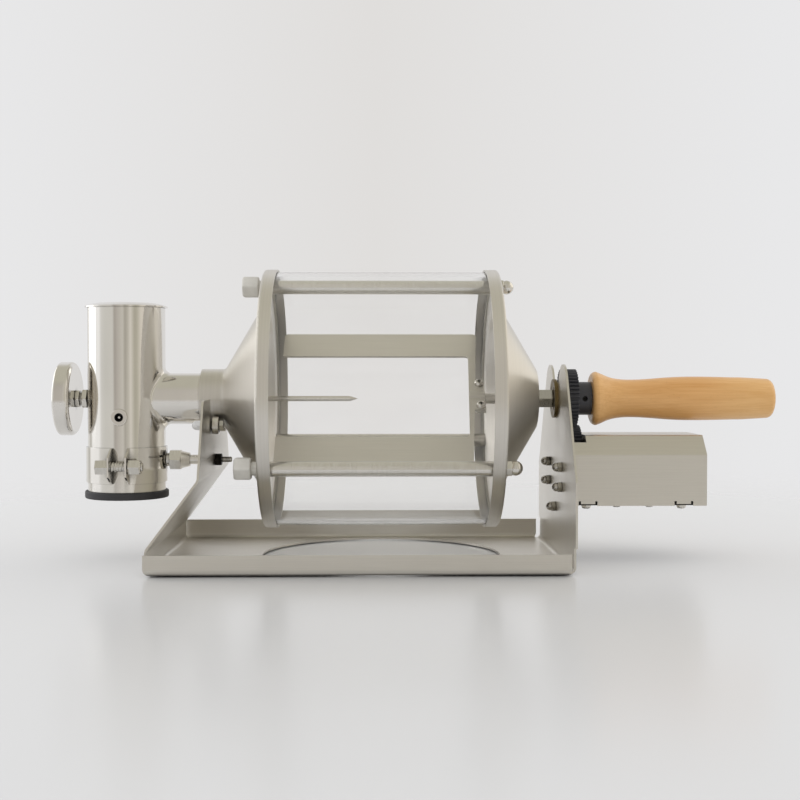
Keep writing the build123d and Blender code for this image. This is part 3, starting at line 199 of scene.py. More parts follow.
def dress(tree, shader, tone, colours, gloss, roughs, skin, depth, strength, painted_shade=None):
    """Feeds a shader from patterns and gives the colour that it takes.

    The colour runs between two with the tone, and the roughness between two with the gloss.
    The skin makes relief of a depth in millimetres. The last argument paints shade into gaps and
    corners: it holds the reach in millimetres and the share of the colour that is left there.
    """
    stops = tuple(zip((NOISE_LOW, NOISE_HIGH), colours))
    paint = add(tree, "ShaderNodeValToRGB", {"Fac": tone}, stops)
    # Painted shade: the colour is darkened in gaps and corners, where shade falls
    if painted_shade:
        reach, share = painted_shade
        near = add(tree, "ShaderNodeAmbientOcclusion", {"Distance": reach * MM}, samples=8)
        shade_factor = add(
            tree, "ShaderNodeMapRange", {"Value": near.outputs["AO"], **NOISE_RANGE, "To Min": share}
        )
        paint = add(tree, "ShaderNodeVectorMath", {0: paint, "Scale": shade_factor}, operation="SCALE")
    rough = add(
        tree,
        "ShaderNodeMapRange",
        {"Value": gloss, **NOISE_RANGE, "To Min": roughs[0], "To Max": roughs[1]},
    )
    bump = add(tree, "ShaderNodeBump", {"Height": skin, "Distance": depth * MM, "Strength": strength})
    feed(tree, shader, {"Base Color": paint, "Roughness": rough, "Normal": bump})
    return paint


def rolled_stainless(rgb):
    """Cold-rolled stainless sheet: satin, with a fine rolling grain and a faint haze of handling."""
    tree, shader, place = new_material("rolled_stainless_sheet", {"Metallic": 1.0})
    # Rolling grain about 0.05 mm wide, drawn 0.8 mm wide so that it shows
    rolling = grain(tree, place, 0.8, (60, 1, 1), 2.0)
    haze = grain(tree, place, 38)
    colours = (shade(rgb, 0.97), shade(rgb, 1.02))
    # Painted shade darkens the sheet in its gaps and corners
    dress(tree, shader, rolling, colours, haze, (0.32, 0.4), rolling, 0.004, 0.1, (4.0, 0.5))


def spun_stainless(rgb):
    """Stainless spun over a former: rings round the drum's axis that draw light out across them."""
    tree, shader, place = new_material("spun_stainless", {"Metallic": 1.0, "Anisotropic": 0.85})
    centred = add(tree, "ShaderNodeMapping", {"Vector": place, "Location": (0, 0, -DRUM_AXIS_Z)})
    parts = add(tree, "ShaderNodeSeparateXYZ", {"Vector": centred}).outputs
    across = add(tree, "ShaderNodeCombineXYZ", {"Y": parts["Y"], "Z": parts["Z"]})
    radius = add(tree, "ShaderNodeVectorMath", {0: across}, operation="LENGTH")
    profile = add(tree, "ShaderNodeCombineXYZ", {"X": radius, "Y": parts["X"]})
    # Tool rings about 0.2 mm apart, drawn 0.9 mm apart so that they show
    rings = grain(tree, profile, 0.9, detail=2.0)
    # Light spreads across the rings, from the middle of the cap outwards
    outwards = add(tree, "ShaderNodeCombineXYZ", {"X": 30 * MM, "Y": parts["Y"], "Z": parts["Z"]})
    tangent = add(
        tree,
        "ShaderNodeVectorTransform",
        {"Vector": outwards},
        vector_type="VECTOR",
        convert_from="OBJECT",
        convert_to="WORLD",
    )
    feed(tree, shader, {"Tangent": tangent})
    marks = grain(tree, place, 45, detail=4.0)
    colours = (shade(rgb, 0.97), shade(rgb, 1.02))
    # Painted shade darkens the caps in their gaps and corners
    dress(tree, shader, rings, colours, marks, (0.42, 0.48), rings, 0.006, 0.06, (4.0, 0.5))


def mirror_stainless(name, rgb, painted_shade):
    """Stainless polished to a mirror: clean reflections, faint upright streaks, painted shade in its
    gaps.
    """
    tree, shader, place = new_material(name, {"Metallic": 1.0})
    # Polishing streaks about 0.1 mm wide, drawn 0.8 mm wide so that they show
    streaks = grain(tree, place, 0.8, (1, 1, 40), 2.0)
    haze = grain(tree, place, 22, (1, 1, 2))
    colours = (shade(rgb, 0.95), rgb)
    dress(tree, shader, haze, colours, haze, (0.06, 0.12), streaks, 0.004, 0.2, painted_shade)


def bright_steel(name, rgb, rough, painted_shade):
    """Turned and plated steel: bright, with fine machining lines, a haze and painted shade at its foot.
    """
    tree, shader, place = new_material(name, {"Metallic": 1.0})
    # Turning lines about 0.1 mm apart, drawn 0.5 mm apart so that they show
    lines = grain(tree, place, 0.5, (1, 14, 14), 2.0)
    haze = grain(tree, place, 9)
    colours = (shade(rgb, 0.92), shade(rgb, 1.04))
    dress(tree, shader, lines, colours, haze, (rough, rough + 0.1), lines, 0.006, 0.25, painted_shade)


def blackened_steel(rgb):
    """Steel with a black oxide skin: dark and satin, a little lighter where it is handled."""
    tree, shader, place = new_material("black_oxide_steel", {"Metallic": 0.85})
    wear = grain(tree, place, 2.5, detail=4.0)
    colours = (shade(rgb, 0.7), shade(rgb, 1.6))
    dress(tree, shader, wear, colours, wear, (0.32, 0.48), wear, 0.02, 0.3)


def turned_brass(rgb):
    """Turned brass: a warm metal with rings round the shaft's axis and a slight tarnish."""
    tree, shader, place = new_material("turned_brass", {"Metallic": 1.0})
    # Turning lines about 0.1 mm apart, drawn 0.5 mm apart so that they show
    lines = grain(tree, place, 0.5, (1, 12, 12), 2.0)
    tarnish = grain(tree, place, 5, detail=4.0)
    colours = (shade(rgb, 0.8), rgb)
    dress(tree, shader, tarnish, colours, tarnish, (0.32, 0.48), lines, 0.008, 0.3)


def drawn_glass(rgb):
    """Thin borosilicate tube: nearly unseen, with the faint film that wiping leaves along it."""
    # Borosilicate's IOR is 1.47: a lower one keeps the thin wall as clear as it looks
    tree, shader, place = new_material(
        "drawn_borosilicate_glass", {"Transmission Weight": 1.0, "Roughness": 0.0, "IOR": 1.25}
    )
    film = grain(tree, place, 18, (3, 1, 1))
    stops = ((NOISE_LOW, shade(rgb, 0.985)), (NOISE_HIGH, rgb))
    feed(tree, shader, {"Base Color": add(tree, "ShaderNodeValToRGB", {"Fac": film}, stops)})


def moulded(name, rgb, rough, size, depth):
    """A moulded or cured skin: an even colour with the mould's fine texture in gloss and relief."""
    tree, shader, place = new_material(name, {"IOR": 1.5})
    skin = grain(tree, place, size)
    cloud = grain(tree, place, 12)
    colours = (shade(rgb, 0.9), shade(rgb, 1.08))
    dress(tree, shader, cloud, colours, skin, (rough - 0.06, rough + 0.08), skin, depth, 0.4)


def lacquered_wood(pale, dark):
    """Turned beech under clear lacquer: long soft grain, short dark flecks and a glossy coat."""
    lacquer = {"Coat Weight": 0.35, "Coat Roughness": 0.12, "Coat IOR": 1.5}
    tree, shader, place = new_material(
        "lacquered_turned_beech", {"IOR": 1.5, "Specular IOR Level": 0.25, **lacquer}
    )
    # Broad soft figure and fibres about 0.1 mm wide, drawn 0.9 mm wide so that they show
    figure = grain(tree, place, 13, (10, 1, 1), 2.0)
    fibres = grain(tree, place, 0.9, (45, 1, 1))
    flecks = grain(tree, place, 0.45, (9, 1, 1), 1.0)
    mixed = add(tree, "ShaderNodeMix", {"Factor": 0.4, "A": figure, "B": fibres}, data_type="FLOAT")
    body = dress(tree, shader, mixed, (pale, dark), fibres, (0.34, 0.46), fibres, 0.02, 0.2)
    fleck = add(
        tree,
        "ShaderNodeMapRange",
        {"Value": flecks, "From Min": 0.66, "From Max": 0.74, "To Max": 0.22},
    )
    flecked = add(
        tree,
        "ShaderNodeMix",
        {"Factor": fleck, MIX_A: body, MIX_B: opaque(shade(dark, 0.62))},
        data_type="RGBA",
    )
    # The tone deepens over the narrow of the grip and is paler at both ends
    low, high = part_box("wood_handle")
    length = high[0] - low[0]
    narrow = low[0] + 0.4 * length
    along = add(tree, "ShaderNodeSeparateXYZ", {"Vector": place}).outputs["X"]
    apart = add(tree, "ShaderNodeMath", {0: along, 1: narrow}, operation="SUBTRACT")
    off = add(tree, "ShaderNodeMath", {0: apart}, operation="ABSOLUTE")
    fading = {"From Min": 0.12 * length, "From Max": 0.5 * length, "To Min": 1.0, "To Max": 0.0}
    middle_deepening = add(tree, "ShaderNodeMapRange", {"Value": off, **fading}, interpolation_type="SMOOTHSTEP")
    toned = add(
        tree,
        "ShaderNodeMix",
        {"Factor": middle_deepening, MIX_A: flecked, MIX_B: opaque(linear("#F7EEE4"))},
        data_type="RGBA",
        blend_type="MULTIPLY",
    )
    feed(tree, shader, {"Base Color": toned})


MIRROR = "mirror_polished_stainless"
# The band clamp's finish is a copy of the mirror stainless with deeper painted shade in its gaps
PRESSED_SHADED = "pressed_bright_stainless"
BRIGHT = "turned_bright_steel"
# The stands' small fasteners take a darker copy of the bright steel, as painted shade for where they
# sit
PLATED_SHADED = "plated_fastener_steel"
BLACK = "black_oxide_steel"
GLASS = "drawn_borosilicate_glass"
INK = "printed_black"

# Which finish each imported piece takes
FINISHES = {
    "rolled_stainless_sheet": (
        "base_frame", "vane_frame", "motor_housing", "motor_bracket", "fan_mount", "chaff_screen",
    ),
    "spun_stainless": ("left_end_cap", "right_end_cap"),
    MIRROR: (
        "collector_tube", "collector_lid", "thermometer_case", "fan_jack_nut", "motor_jack_nut",
    ),
    PRESSED_SHADED: ("band_clamp",),
    BRIGHT: (
        "tie_rods", "thermometer_stem", "front_roller", "back_roller", "drive_shaft", "motor_shaft",
        "gear_motor", "fan_motor", "clamp_bolt", "support_stud", "stud_union_nut",
    ),
    PLATED_SHADED: ("hex_spacer", "stand_bolts", "roller_axle_bolts"),
    # The bottom cover is black as painted shade for the dark gap under the housing's tabs
    BLACK: ("stud_lock_nut", "gear_set_screw", "housing_bottom_cover"),
    "turned_brass": ("shaft_bush",),
    GLASS: ("glass_cylinder", "dial_lens"),
    "moulded_silicone": ("left_seal", "right_seal"),
    "moulded_rubber": ("rubber_ring",),
    "cut_black_nylon": ("drum_gear", "pinion"),
    "moulded_black_plastic": ("motor_power_jack", "fan_power_jack", "fan_impeller"),
    "lacquered_turned_beech": ("wood_handle",),
    "sprayed_dial_white": ("dial_plate",),
    INK: ("dial_pointer",),
}


class ROASTER_OT_finishes(bpy.types.Operator):
    """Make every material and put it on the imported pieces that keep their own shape."""

    bl_idname = "roaster.finishes"
    bl_label = "Finishes"

    def execute(self, context):
        c = context.scene.roaster_colours
        rolled_stainless(c.sheet)
        spun_stainless(c.spun)
        # Painted shade in the gaps: light at the drawn tube's joints, deep between the pressed band's
        # ears
        mirror_stainless(MIRROR, c.mirror, (8.0, 0.35))
        mirror_stainless(PRESSED_SHADED, c.mirror, (24.0, 0.2))
        # Painted shade in the corners of all; the stands' small fasteners take a darker copy of the
        # steel as painted shade
        bright_steel(BRIGHT, c.bright, 0.12, (5.0, 0.35))
        bright_steel(PLATED_SHADED, shade(c.bright, 0.68), 0.08, (5.0, 0.2))
        blackened_steel(c.dark)
        turned_brass(c.brass)
        drawn_glass((1.0, 1.0, 1.0))
        # Cured silicone is soft to look at, with a dull skin
        moulded("moulded_silicone", c.silicone, 0.55, 0.8, 0.02)
        # Moulded rubber has a dull skin with a faint bloom
        moulded("moulded_rubber", c.rubber, 0.6, 0.6, 0.03)
        # Cut nylon shows a satin surface with the cutter's fine marks
        moulded("cut_black_nylon", c.nylon, 0.42, 0.7, 0.02)
        # Injection moulded plastic is smooth with a fine spark texture
        moulded("moulded_black_plastic", c.plastic, 0.38, 0.5, 0.01)
        # Moulded grey nylon of the knobs is matt and slightly grained
        moulded("moulded_grey_nylon", c.knob, 0.45, 0.6, 0.02)
        # Sprayed white enamel lies flat with a faint orange peel
        moulded("sprayed_dial_white", c.dial, 0.4, 1.2, 0.01)
        # Printed black ink is thin and slightly glossy
        moulded(INK, c.ink, 0.4, 0.4, 0.005)
        lacquered_wood(c.wood_pale, c.wood_dark)
        for name, nodes in FINISHES.items():
            for node in nodes:
                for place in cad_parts[node].material_slots:
                    place.material = bpy.data.materials[name]
        # Light from the lamps passes the clear glass on its way to what stands behind it
        for node in FINISHES[GLASS]:
            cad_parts[node].visible_shadow = False
        return {"FINISHED"}


def extent(spots):
    """The lowest and highest corner of some points."""
    return Vector(map(min, zip(*spots))), Vector(map(max, zip(*spots)))


def solids(node):
    """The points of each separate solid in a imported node, in order of place."""
    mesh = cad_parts[node].data
    chief = list(range(len(mesh.vertices)))

    def root(i):
        while chief[i] != i:
            chief[i] = chief[chief[i]]
            i = chief[i]
        return i

    seen = {}
    for vertex in mesh.vertices:
        spot = tuple(round(part / MM, 2) for part in vertex.co)
        chief[root(vertex.index)] = root(seen.setdefault(spot, vertex.index))
    for face in mesh.polygons:
        for corner in face.vertices[1:]:
            chief[root(corner)] = root(face.vertices[0])
    groups = {}
    for vertex in mesh.vertices:
        groups.setdefault(root(vertex.index), []).append(vertex.co.copy())
    return sorted(groups.values(), key=lambda spots: tuple(extent(spots)[0]))


def linked(name, data):
    """A new object in the scene."""
    holder = bpy.data.objects.new(name, data)
    bpy.context.scene.collection.objects.link(holder)
    return holder


def plain_mesh(holder):
    """The mesh that an object's modifiers or its text give."""
    ready = holder.evaluated_get(bpy.context.evaluated_depsgraph_get())
    return bpy.data.meshes.new_from_object(ready)


def mesh_of(work, name):
    """A new mesh from a bmesh, which is then freed."""
    mesh = bpy.data.meshes.new(name)
    work.to_mesh(mesh)
    work.free()
    return mesh


def tidy_mesh(mesh, sharp=35):
    """Closes doubles, points faces outwards and keeps edges sharper than an angle crisp."""
    work = bmesh.new()
    work.from_mesh(mesh)
    bmesh.ops.remove_doubles(work, verts=work.verts, dist=1e-7)
    bmesh.ops.recalc_face_normals(work, faces=work.faces)
    work.to_mesh(mesh)
    work.free()
    for face in mesh.polygons:
        face.use_smooth = True
    mesh.set_sharp_from_angle(angle=radians(sharp))
    return mesh


def bridge(work, rings):
    """Faces between each ring of points and the next."""
    for low, high in zip(rings, rings[1:]):
        for i in range(len(low)):
            j = (i + 1) % len(low)
            work.faces.new((low[i], low[j], high[j], high[i]))


def hexagon(angle, flats, sharpness):
    """The reach of a hexagon with slightly rounded corners at an angle from a flat's middle."""
    turns = (abs(cos(angle - k * pi / 3)) ** sharpness for k in range(3))
    return flats / 2 / sum(turns) ** (1 / sharpness)


# A hexagon of this share reaches past every limit, so its level is a plain circle
ROUND = 2.0
# A ring this small, as a share of a radius, closes a tip
TIP = 0.02


def hexed(name, levels, flats, sharpness=60.0, around=72):
    """A closed mesh about Z: at each level (height, share, limit) a hexagon cut back to a circle."""
    work = bmesh.new()
    rings = []
    for height, share, limit in levels:
        ring = []
        for i in range(around):
            angle = 2 * pi * i / around
            reach = min(hexagon(angle, flats, sharpness) * share, limit)
            ring.append(work.verts.new((reach * cos(angle), reach * sin(angle), height)))
        rings.append(ring)
    bridge(work, rings)
    for ring, height in ((rings[0], levels[0][0]), (rings[-1], levels[-1][0])):
        middle = work.verts.new((0, 0, height))
        for i in range(around):
            work.faces.new((ring[i], ring[(i + 1) % around], middle))
    return tidy_mesh(mesh_of(work, name))


def chamfered(start, end, flats):
    """Levels of a hexagon between two heights whose corners are turned off at both ends."""
    rise = (end - start) / 12
    # Circles at the face, part way up a chamfer of 30 degrees, and past the corners
    foot, cut, wide = 0.475 * flats, flats / 2 + 1.73 * rise, 0.62 * flats
    lower = [(start, 1.0, foot), (start + rise, 1.0, cut), (start + 2 * rise, 1.0, wide)]
    return lower + [(end - 2 * rise, 1.0, wide), (end - rise, 1.0, cut), (end, 1.0, foot)]


def new_tree(name, sockets):
    """An empty geometry tree with named inputs, a finish and one geometry output."""
    tree = bpy.data.node_groups.new(name, "GeometryNodeTree")
    tree.interface.new_socket("Geometry", in_out="OUTPUT", socket_type="NodeSocketGeometry")
    for label, kind in {**sockets, "Finish": "Material"}.items():
        tree.interface.new_socket(label, in_out="INPUT", socket_type="NodeSocket" + kind)
    return tree, add(tree, "NodeGroupInput").outputs


def close_tree(tree, geometry, material):
    """Ends a geometry tree in Realize Instances and Set Material."""
    real = add(tree, "GeometryNodeRealizeInstances", {"Geometry": geometry})
    painted = add(tree, "GeometryNodeSetMaterial", {"Geometry": real, "Material": material})
    add(tree, "NodeGroupOutput", {"Geometry": painted})
    return tree


def repeat_tree():
    """A tree that sets one piece at every point, all turned the same way."""
    sockets = {"Places": "Geometry", "Piece": "Object", "Turn": "Vector"}
    tree, given = new_tree("like_pieces_at_places", sockets)
    piece = add(tree, "GeometryNodeObjectInfo", {"Object": given["Piece"], "As Instance": True})
    turn = add(tree, "FunctionNodeEulerToRotation", {"Euler": given["Turn"]})
    placed = add(
        tree,
        "GeometryNodeInstanceOnPoints",
        {"Points": given["Places"], "Instance": piece.outputs["Geometry"], "Rotation": turn},
    )
    return close_tree(tree, placed, given["Finish"])


def thread_tree():
    """A tree that winds a rounded ridge round the Z axis, as a rolled thread's crest."""
    sockets = {"Base": "Geometry", "Radius": "Float", "Pitch": "Float", "Length": "Float"}
    tree, given = new_tree("rolled_thread", sockets)
    turns = add(tree, "ShaderNodeMath", {0: given["Length"], 1: given["Pitch"]}, operation="DIVIDE")
    # The ridge's radius is a share of the pitch that leaves a narrow groove between the turns
    ridge = add(tree, "ShaderNodeMath", {0: given["Pitch"], 1: 0.36}, operation="MULTIPLY")
    spiral = add(
        tree,
        "GeometryNodeCurveSpiral",
        {
            "Resolution": 28,
            "Rotations": turns,
            "Start Radius": given["Radius"],
            "End Radius": given["Radius"],
            "Height": given["Length"],
        },
    )
    crest = add(tree, "GeometryNodeCurvePrimitiveCircle", {"Resolution": 8, "Radius": ridge})
    swept = add(
        tree,
        "GeometryNodeCurveToMesh",
        {"Curve": spiral, "Profile Curve": crest, "Fill Caps": True},
    )
    return close_tree(tree, swept, given["Finish"])


# The dial's first mark, from straight up
DIAL_START = radians(-135)
# Places and sizes on the dial, as shares of its radius
MARK_RING, MARK_LENGTH, FIGURE_RING = 0.88, 0.13, 0.64
FIGURE_STEPS = 6
PRINT_DEPTH = 0.06 * MM


def marks_tree():
    """A tree that sets upright marks on an arc in the YZ plane, every fifth one long."""
    sockets = {"Base": "Geometry", "Steps": "Int", "Sweep": "Float"}
    tree, given = new_tree("dial_marks", {**sockets, "Radius": "Float", "Long": "Float"})
    index = add(tree, "GeometryNodeInputIndex")
    share = add(tree, "ShaderNodeMath", {0: index, 1: given["Steps"]}, operation="DIVIDE")
    angle = add(
        tree,
        "ShaderNodeMath",
        {0: share, 1: given["Sweep"], 2: DIAL_START},
        operation="MULTIPLY_ADD",
    )
    side = add(tree, "ShaderNodeMath", {0: angle}, operation="SINE")
    up = add(tree, "ShaderNodeMath", {0: angle}, operation="COSINE")
    spot = add(tree, "ShaderNodeCombineXYZ", {"Y": side, "Z": up})
    # The face looks to the left, so Y is turned round to make the marks run clockwise there
    flipped = add(tree, "ShaderNodeVectorMath", {0: spot, 1: (0, -1, 1)}, operation="MULTIPLY")
    place = add(tree, "ShaderNodeVectorMath", {0: flipped, "Scale": given["Radius"]}, operation="SCALE")
    count = add(tree, "ShaderNodeMath", {0: given["Steps"], 1: 1.0}, operation="ADD")
    points = add(tree, "GeometryNodePoints", {"Count": count, "Position": place})
    # Marks between the fifths are half as long and half as wide
    fifth = add(tree, "ShaderNodeMath", {0: index, 1: 5.0}, operation="MODULO")
    minor = add(tree, "ShaderNodeMath", {0: fifth, 1: 0.5}, operation="GREATER_THAN")
    part = add(tree, "ShaderNodeMath", {0: minor, 1: -0.5, 2: 1.0}, operation="MULTIPLY_ADD")
    size = add(tree, "ShaderNodeCombineXYZ", {"X": 1.0, "Y": part, "Z": part})
    full = add(tree, "ShaderNodeCombineXYZ", {"X": PRINT_DEPTH, "Y": 0.5 * MM, "Z": given["Long"]})
    mark = add(tree, "GeometryNodeMeshCube", {"Size": full})
    euler = add(tree, "ShaderNodeCombineXYZ", {"X": angle})
    turn = add(tree, "FunctionNodeEulerToRotation", {"Euler": euler})
    placed = add(
        tree,
        "GeometryNodeInstanceOnPoints",
        {"Points": points, "Instance": mark, "Rotation": turn, "Scale": size},
    )
    return close_tree(tree, placed, given["Finish"])


def grown(name, tree, finish, values, base=None):
    """The plain mesh that a geometry tree makes from named values, on a base mesh if it has one."""
    values = {**values, "Finish": bpy.data.materials[finish]}
    holder = linked(name, base or bpy.data.meshes.new(name + "_base"))
    modifier = holder.modifiers.new(name, "NODES")
    modifier.node_group = tree
    for item in tree.interface.items_tree:
        if item.item_type == "SOCKET" and item.in_out == "INPUT" and item.name in values:
            modifier[item.identifier] = values[item.name]
    mesh = plain_mesh(holder)
    holder.modifiers.remove(modifier)
    bpy.data.objects.remove(holder)
    if not mesh.polygons:
        raise RuntimeError(f"{name} came out empty")
    mesh.name = name
    return mesh


def repeated(name, single, places, turn, finish):
    """One mesh of a single mesh set at every place."""
    sample = linked(name + "_sample", single)
    points = bpy.data.meshes.new(name + "_places")
    points.from_pydata([tuple(place) for place in places], [], [])
    tree = bpy.data.node_groups.get("like_pieces_at_places") or repeat_tree()
    mesh = grown(name, tree, finish, {"Piece": sample, "Turn": turn}, points)
    bpy.data.objects.remove(sample)
    return mesh


def joined(name, *meshes):
    """One mesh of several that share their material."""
    work = bmesh.new()
    for mesh in meshes:
        work.from_mesh(mesh)
    result = mesh_of(work, name)
    result.materials.append(meshes[0].materials[0])
    return tidy_mesh(result)


def piece_from(name, mesh, body, stands_for=()):
    """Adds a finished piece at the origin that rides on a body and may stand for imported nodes."""
    piece = linked(name, mesh)
    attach(piece, body)
    if stands_for:
        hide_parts(*stands_for)


TO_RIGHT = (0, radians(90), 0)
TO_LEFT = (0, radians(-90), 0)


def cap_nut(name, flats, hex_height, height):
    """A domed nut on Z = 0: a chamfered hexagon under a round dome."""
    edge, crown = 0.46 * flats, height - hex_height
    radius = (edge**2 + crown**2) / (2 * crown)
    centre = height - radius
    opening = atan2(edge, hex_height - centre)
    levels = chamfered(0, hex_height, flats)
    steps = 12
    for i in range(steps):
        turn = opening * (1 - i / steps)
        levels.append((centre + radius * cos(turn), ROUND, radius * sin(turn)))
    levels.append((height, ROUND, TIP * radius))
    return hexed(name, levels, flats)


class ROASTER_OT_cap_nuts(bpy.types.Operator):
    """Cap nuts of the stands and the tie rods, with turned-off corners and round domes."""

    bl_idname = "roaster.cap_nuts"
    bl_label = "Cap nuts"

    def execute(self, context):
        # Name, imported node, body, way of the dome, the hexagon's share of the height, finish
        groups = (
            ("stand_cap_nuts", "stand_nuts", "base", TO_LEFT, 0.45, PLATED_SHADED),
            ("roller_cap_nuts", "roller_axle_nuts", "base", TO_LEFT, 0.45, PLATED_SHADED),
            ("tie_rod_cap_nuts", "tie_rod_nuts", "drum", TO_RIGHT, 0.4, BRIGHT),
        )
        for name, node, body, turn, hex_share, finish in groups:
            boxes = [extent(spots) for spots in solids(node)]
            heights = [high.x - low.x for low, high in boxes]
            tall, thin = max(heights), min(heights)
            size = boxes[0][1] - boxes[0][0]
            flats = min(size.y, size.z)
            caps, plain = [], []
            for (low, high), height in zip(boxes, heights):
                foot = (low + high) / 2
                foot.x = low.x if turn == TO_RIGHT else high.x
                (caps if height > 0.99 * tall else plain).append(foot)
            nut = cap_nut(name, flats, tall * hex_share, tall)
            mesh = repeated(name, nut, caps, turn, finish)
            if plain:
                under = hexed(name + "_under", chamfered(0, thin, flats), flats)
                mesh = joined(name, mesh, repeated(name, under, plain, turn, finish))
            piece_from(name, mesh, body, (node,))
        return {"FINISHED"}


class ROASTER_OT_plain_nuts(bpy.types.Operator):
    """Hex nuts of the clamp, the thermometer's gland and the stud, with turned-off corners."""

    bl_idname = "roaster.plain_nuts"
    bl_label = "Plain nuts"

    def execute(self, context):
        clamp_turn = context.scene.roaster_sizes.clamp_turn
        # Name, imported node, body, turn about Z, finish, slot
        groups = (
            ("clamp_hex_nut", "clamp_nut", "collector", clamp_turn, BRIGHT, "bright_steel"),
            ("gland_hex_nut", "gland_nut", "collector", 0, BRIGHT, "bright_steel"),
            ("gland_lock_hex_nuts", "gland_lock_nuts", "collector", 0, BRIGHT, "bright_steel"),
            ("stud_lock_hex_nut", "stud_lock_nut", "stud_nut", 0, BLACK, "black_steel"),
        )
        for name, node, body, turn, finish, slot in groups:
            boxes = [extent(spots) for spots in solids(node)]
            size = boxes[0][1] - boxes[0][0]
            flats = min(size.y, size.z)
            half = (size.x - flats * sin(turn)) / 2
            single = hexed(name, chamfered(-half, half, flats), flats)
            places = [(low + high) / 2 for low, high in boxes]
            mesh = repeated(name, single, places, (0, radians(90), turn), finish)
            piece_from(name, mesh, body, (node,))
        return {"FINISHED"}


class ROASTER_OT_knobs(bpy.types.Operator):
    """Hand knobs on the tie rods: six soft sides, rounded ends and a turned neck."""

    bl_idname = "roaster.knobs"
    bl_label = "Hand knobs"

    def execute(self, context):
        sharpness = context.scene.roaster_sizes.knob_corner
        for node in ("knob_1", "knob_2", "knob_3"):
            name = node + "_grip"
            low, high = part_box(node)
            flats = min(high[1] - low[1], high[2] - low[2])
            length = high[0] - low[0]
            neck = 0.27 * length
            edge = 0.1 * (length - neck)
            levels = [(0, 1.0, 0.32 * flats), (neck, 1.0, 0.32 * flats)]
            # A short round at the foot, a longer one at the outer end, and a slightly hollow end face
            for i in range(6):
                turn = pi / 2 * i / 5
                levels.append((neck + edge * (1 - cos(turn)), 0.86 + 0.14 * sin(turn), flats))
            for i in range(8):
                turn = pi / 2 * i / 7
                height = length - 1.6 * edge * (1 - sin(turn))
                levels.append((height, 0.76 + 0.24 * cos(turn), flats))
            levels.append((length - 0.3 * edge, 0.55, flats))
            single = hexed(name, levels, flats, sharpness)
            foot = (Vector(low) + Vector(high)) / 2
            foot.x = high[0]
            mesh = repeated(name, single, [foot], TO_LEFT, "moulded_grey_nylon")
            piece_from(name, mesh, node, (node,))
        return {"FINISHED"}


def cross_screw(name, radius, head, shank_radius, shank):
    """A screw on Z: its shank below zero, and a pan head above with a cross recess in its top."""
    # The head's side is straight for rim of its height, and flat of its radius is level on top
    rim, flat = 0.3, 0.45
    levels = [(-shank, ROUND, shank_radius), (0, ROUND, shank_radius)]
    levels += [(0, ROUND, radius), (rim * head, ROUND, radius)]
    steps = 7
    for i in range(1, steps + 1):
        turn = pi / 2 * i / steps
        height = head * (rim + (1 - rim) * sin(turn))
        levels.append((height, ROUND, radius * (flat + (1 - flat) * cos(turn))))
    solid = hexed(name, levels, 2 * radius, around=40)
    # The recess narrows towards its floor
    arm, width, floor = 0.55 * radius, 0.14 * radius, 0.35 * head
    work = bmesh.new()
    rings = []
    for height, share in ((floor, 0.6), (head + floor, 1.15)):
        ring = []
        for k in range(4):
            turn = Matrix.Rotation(k * pi / 2, 3, "Z")
            for x, y in ((arm * share, -width), (arm * share, width), (width, width)):
                ring.append(work.verts.new(turn @ Vector((x, y, 0)) + Vector((0, 0, height))))
        rings.append(ring)
    bridge(work, rings)
    work.faces.new(reversed(rings[0]))
    work.faces.new(rings[1])
    holder = linked(name, solid)
    cutter = linked(name + "_recess", mesh_of(work, name + "_recess"))
    cutting = holder.modifiers.new("recess", "BOOLEAN")
    cutting.object = cutter
    cutting.operation = "DIFFERENCE"
    cutting.solver = "EXACT"
    mesh = plain_mesh(holder)
    bpy.data.objects.remove(holder)
    bpy.data.objects.remove(cutter)
    mesh.name = name
    return tidy_mesh(mesh)


class ROASTER_OT_screws(bpy.types.Operator):
    """Cross-head screws of the vane frame, the bottom cover and the motor bracket."""

    bl_idname = "roaster.screws"
    bl_label = "Screws"

    def execute(self, context):
        lean = context.scene.roaster_sizes.vane_angle
        near = 0.02 * MM
        groups = (
            ("vane_cross_screws", "vane_screws", "drum", (lean, 0, 0)),
            ("cover_cross_screws", "cover_screws", "base", (pi, 0, 0)),
            ("bracket_cross_screws", "bracket_screws", "base", (pi, 0, 0)),
        )
        for name, node, body, turn in groups:
            up = Euler(turn).to_matrix() @ Vector((0, 0, 1))
            places = []
            for spots in solids(node):
                heights = [spot.dot(up) for spot in spots]
                top, foot = max(heights), min(heights)
                crown = [spot for spot, height in zip(spots, heights) if top - height < near]
                centre = sum(crown, Vector()) / len(crown)
                reach = [(spot - centre - up * (spot - centre).dot(up)).length for spot in spots]
                radius = max(reach)
                under = min(height for height, r in zip(heights, reach) if r > 0.97 * radius)
                shank = max(r for height, r in zip(heights, reach) if height < foot + near)
                places.append(centre - up * (top - under))
            single = cross_screw(name, radius, top - under, shank, under - foot)
            mesh = repeated(name, single, places, turn, BRIGHT)
            piece_from(name, mesh, body, (node,))
        return {"FINISHED"}


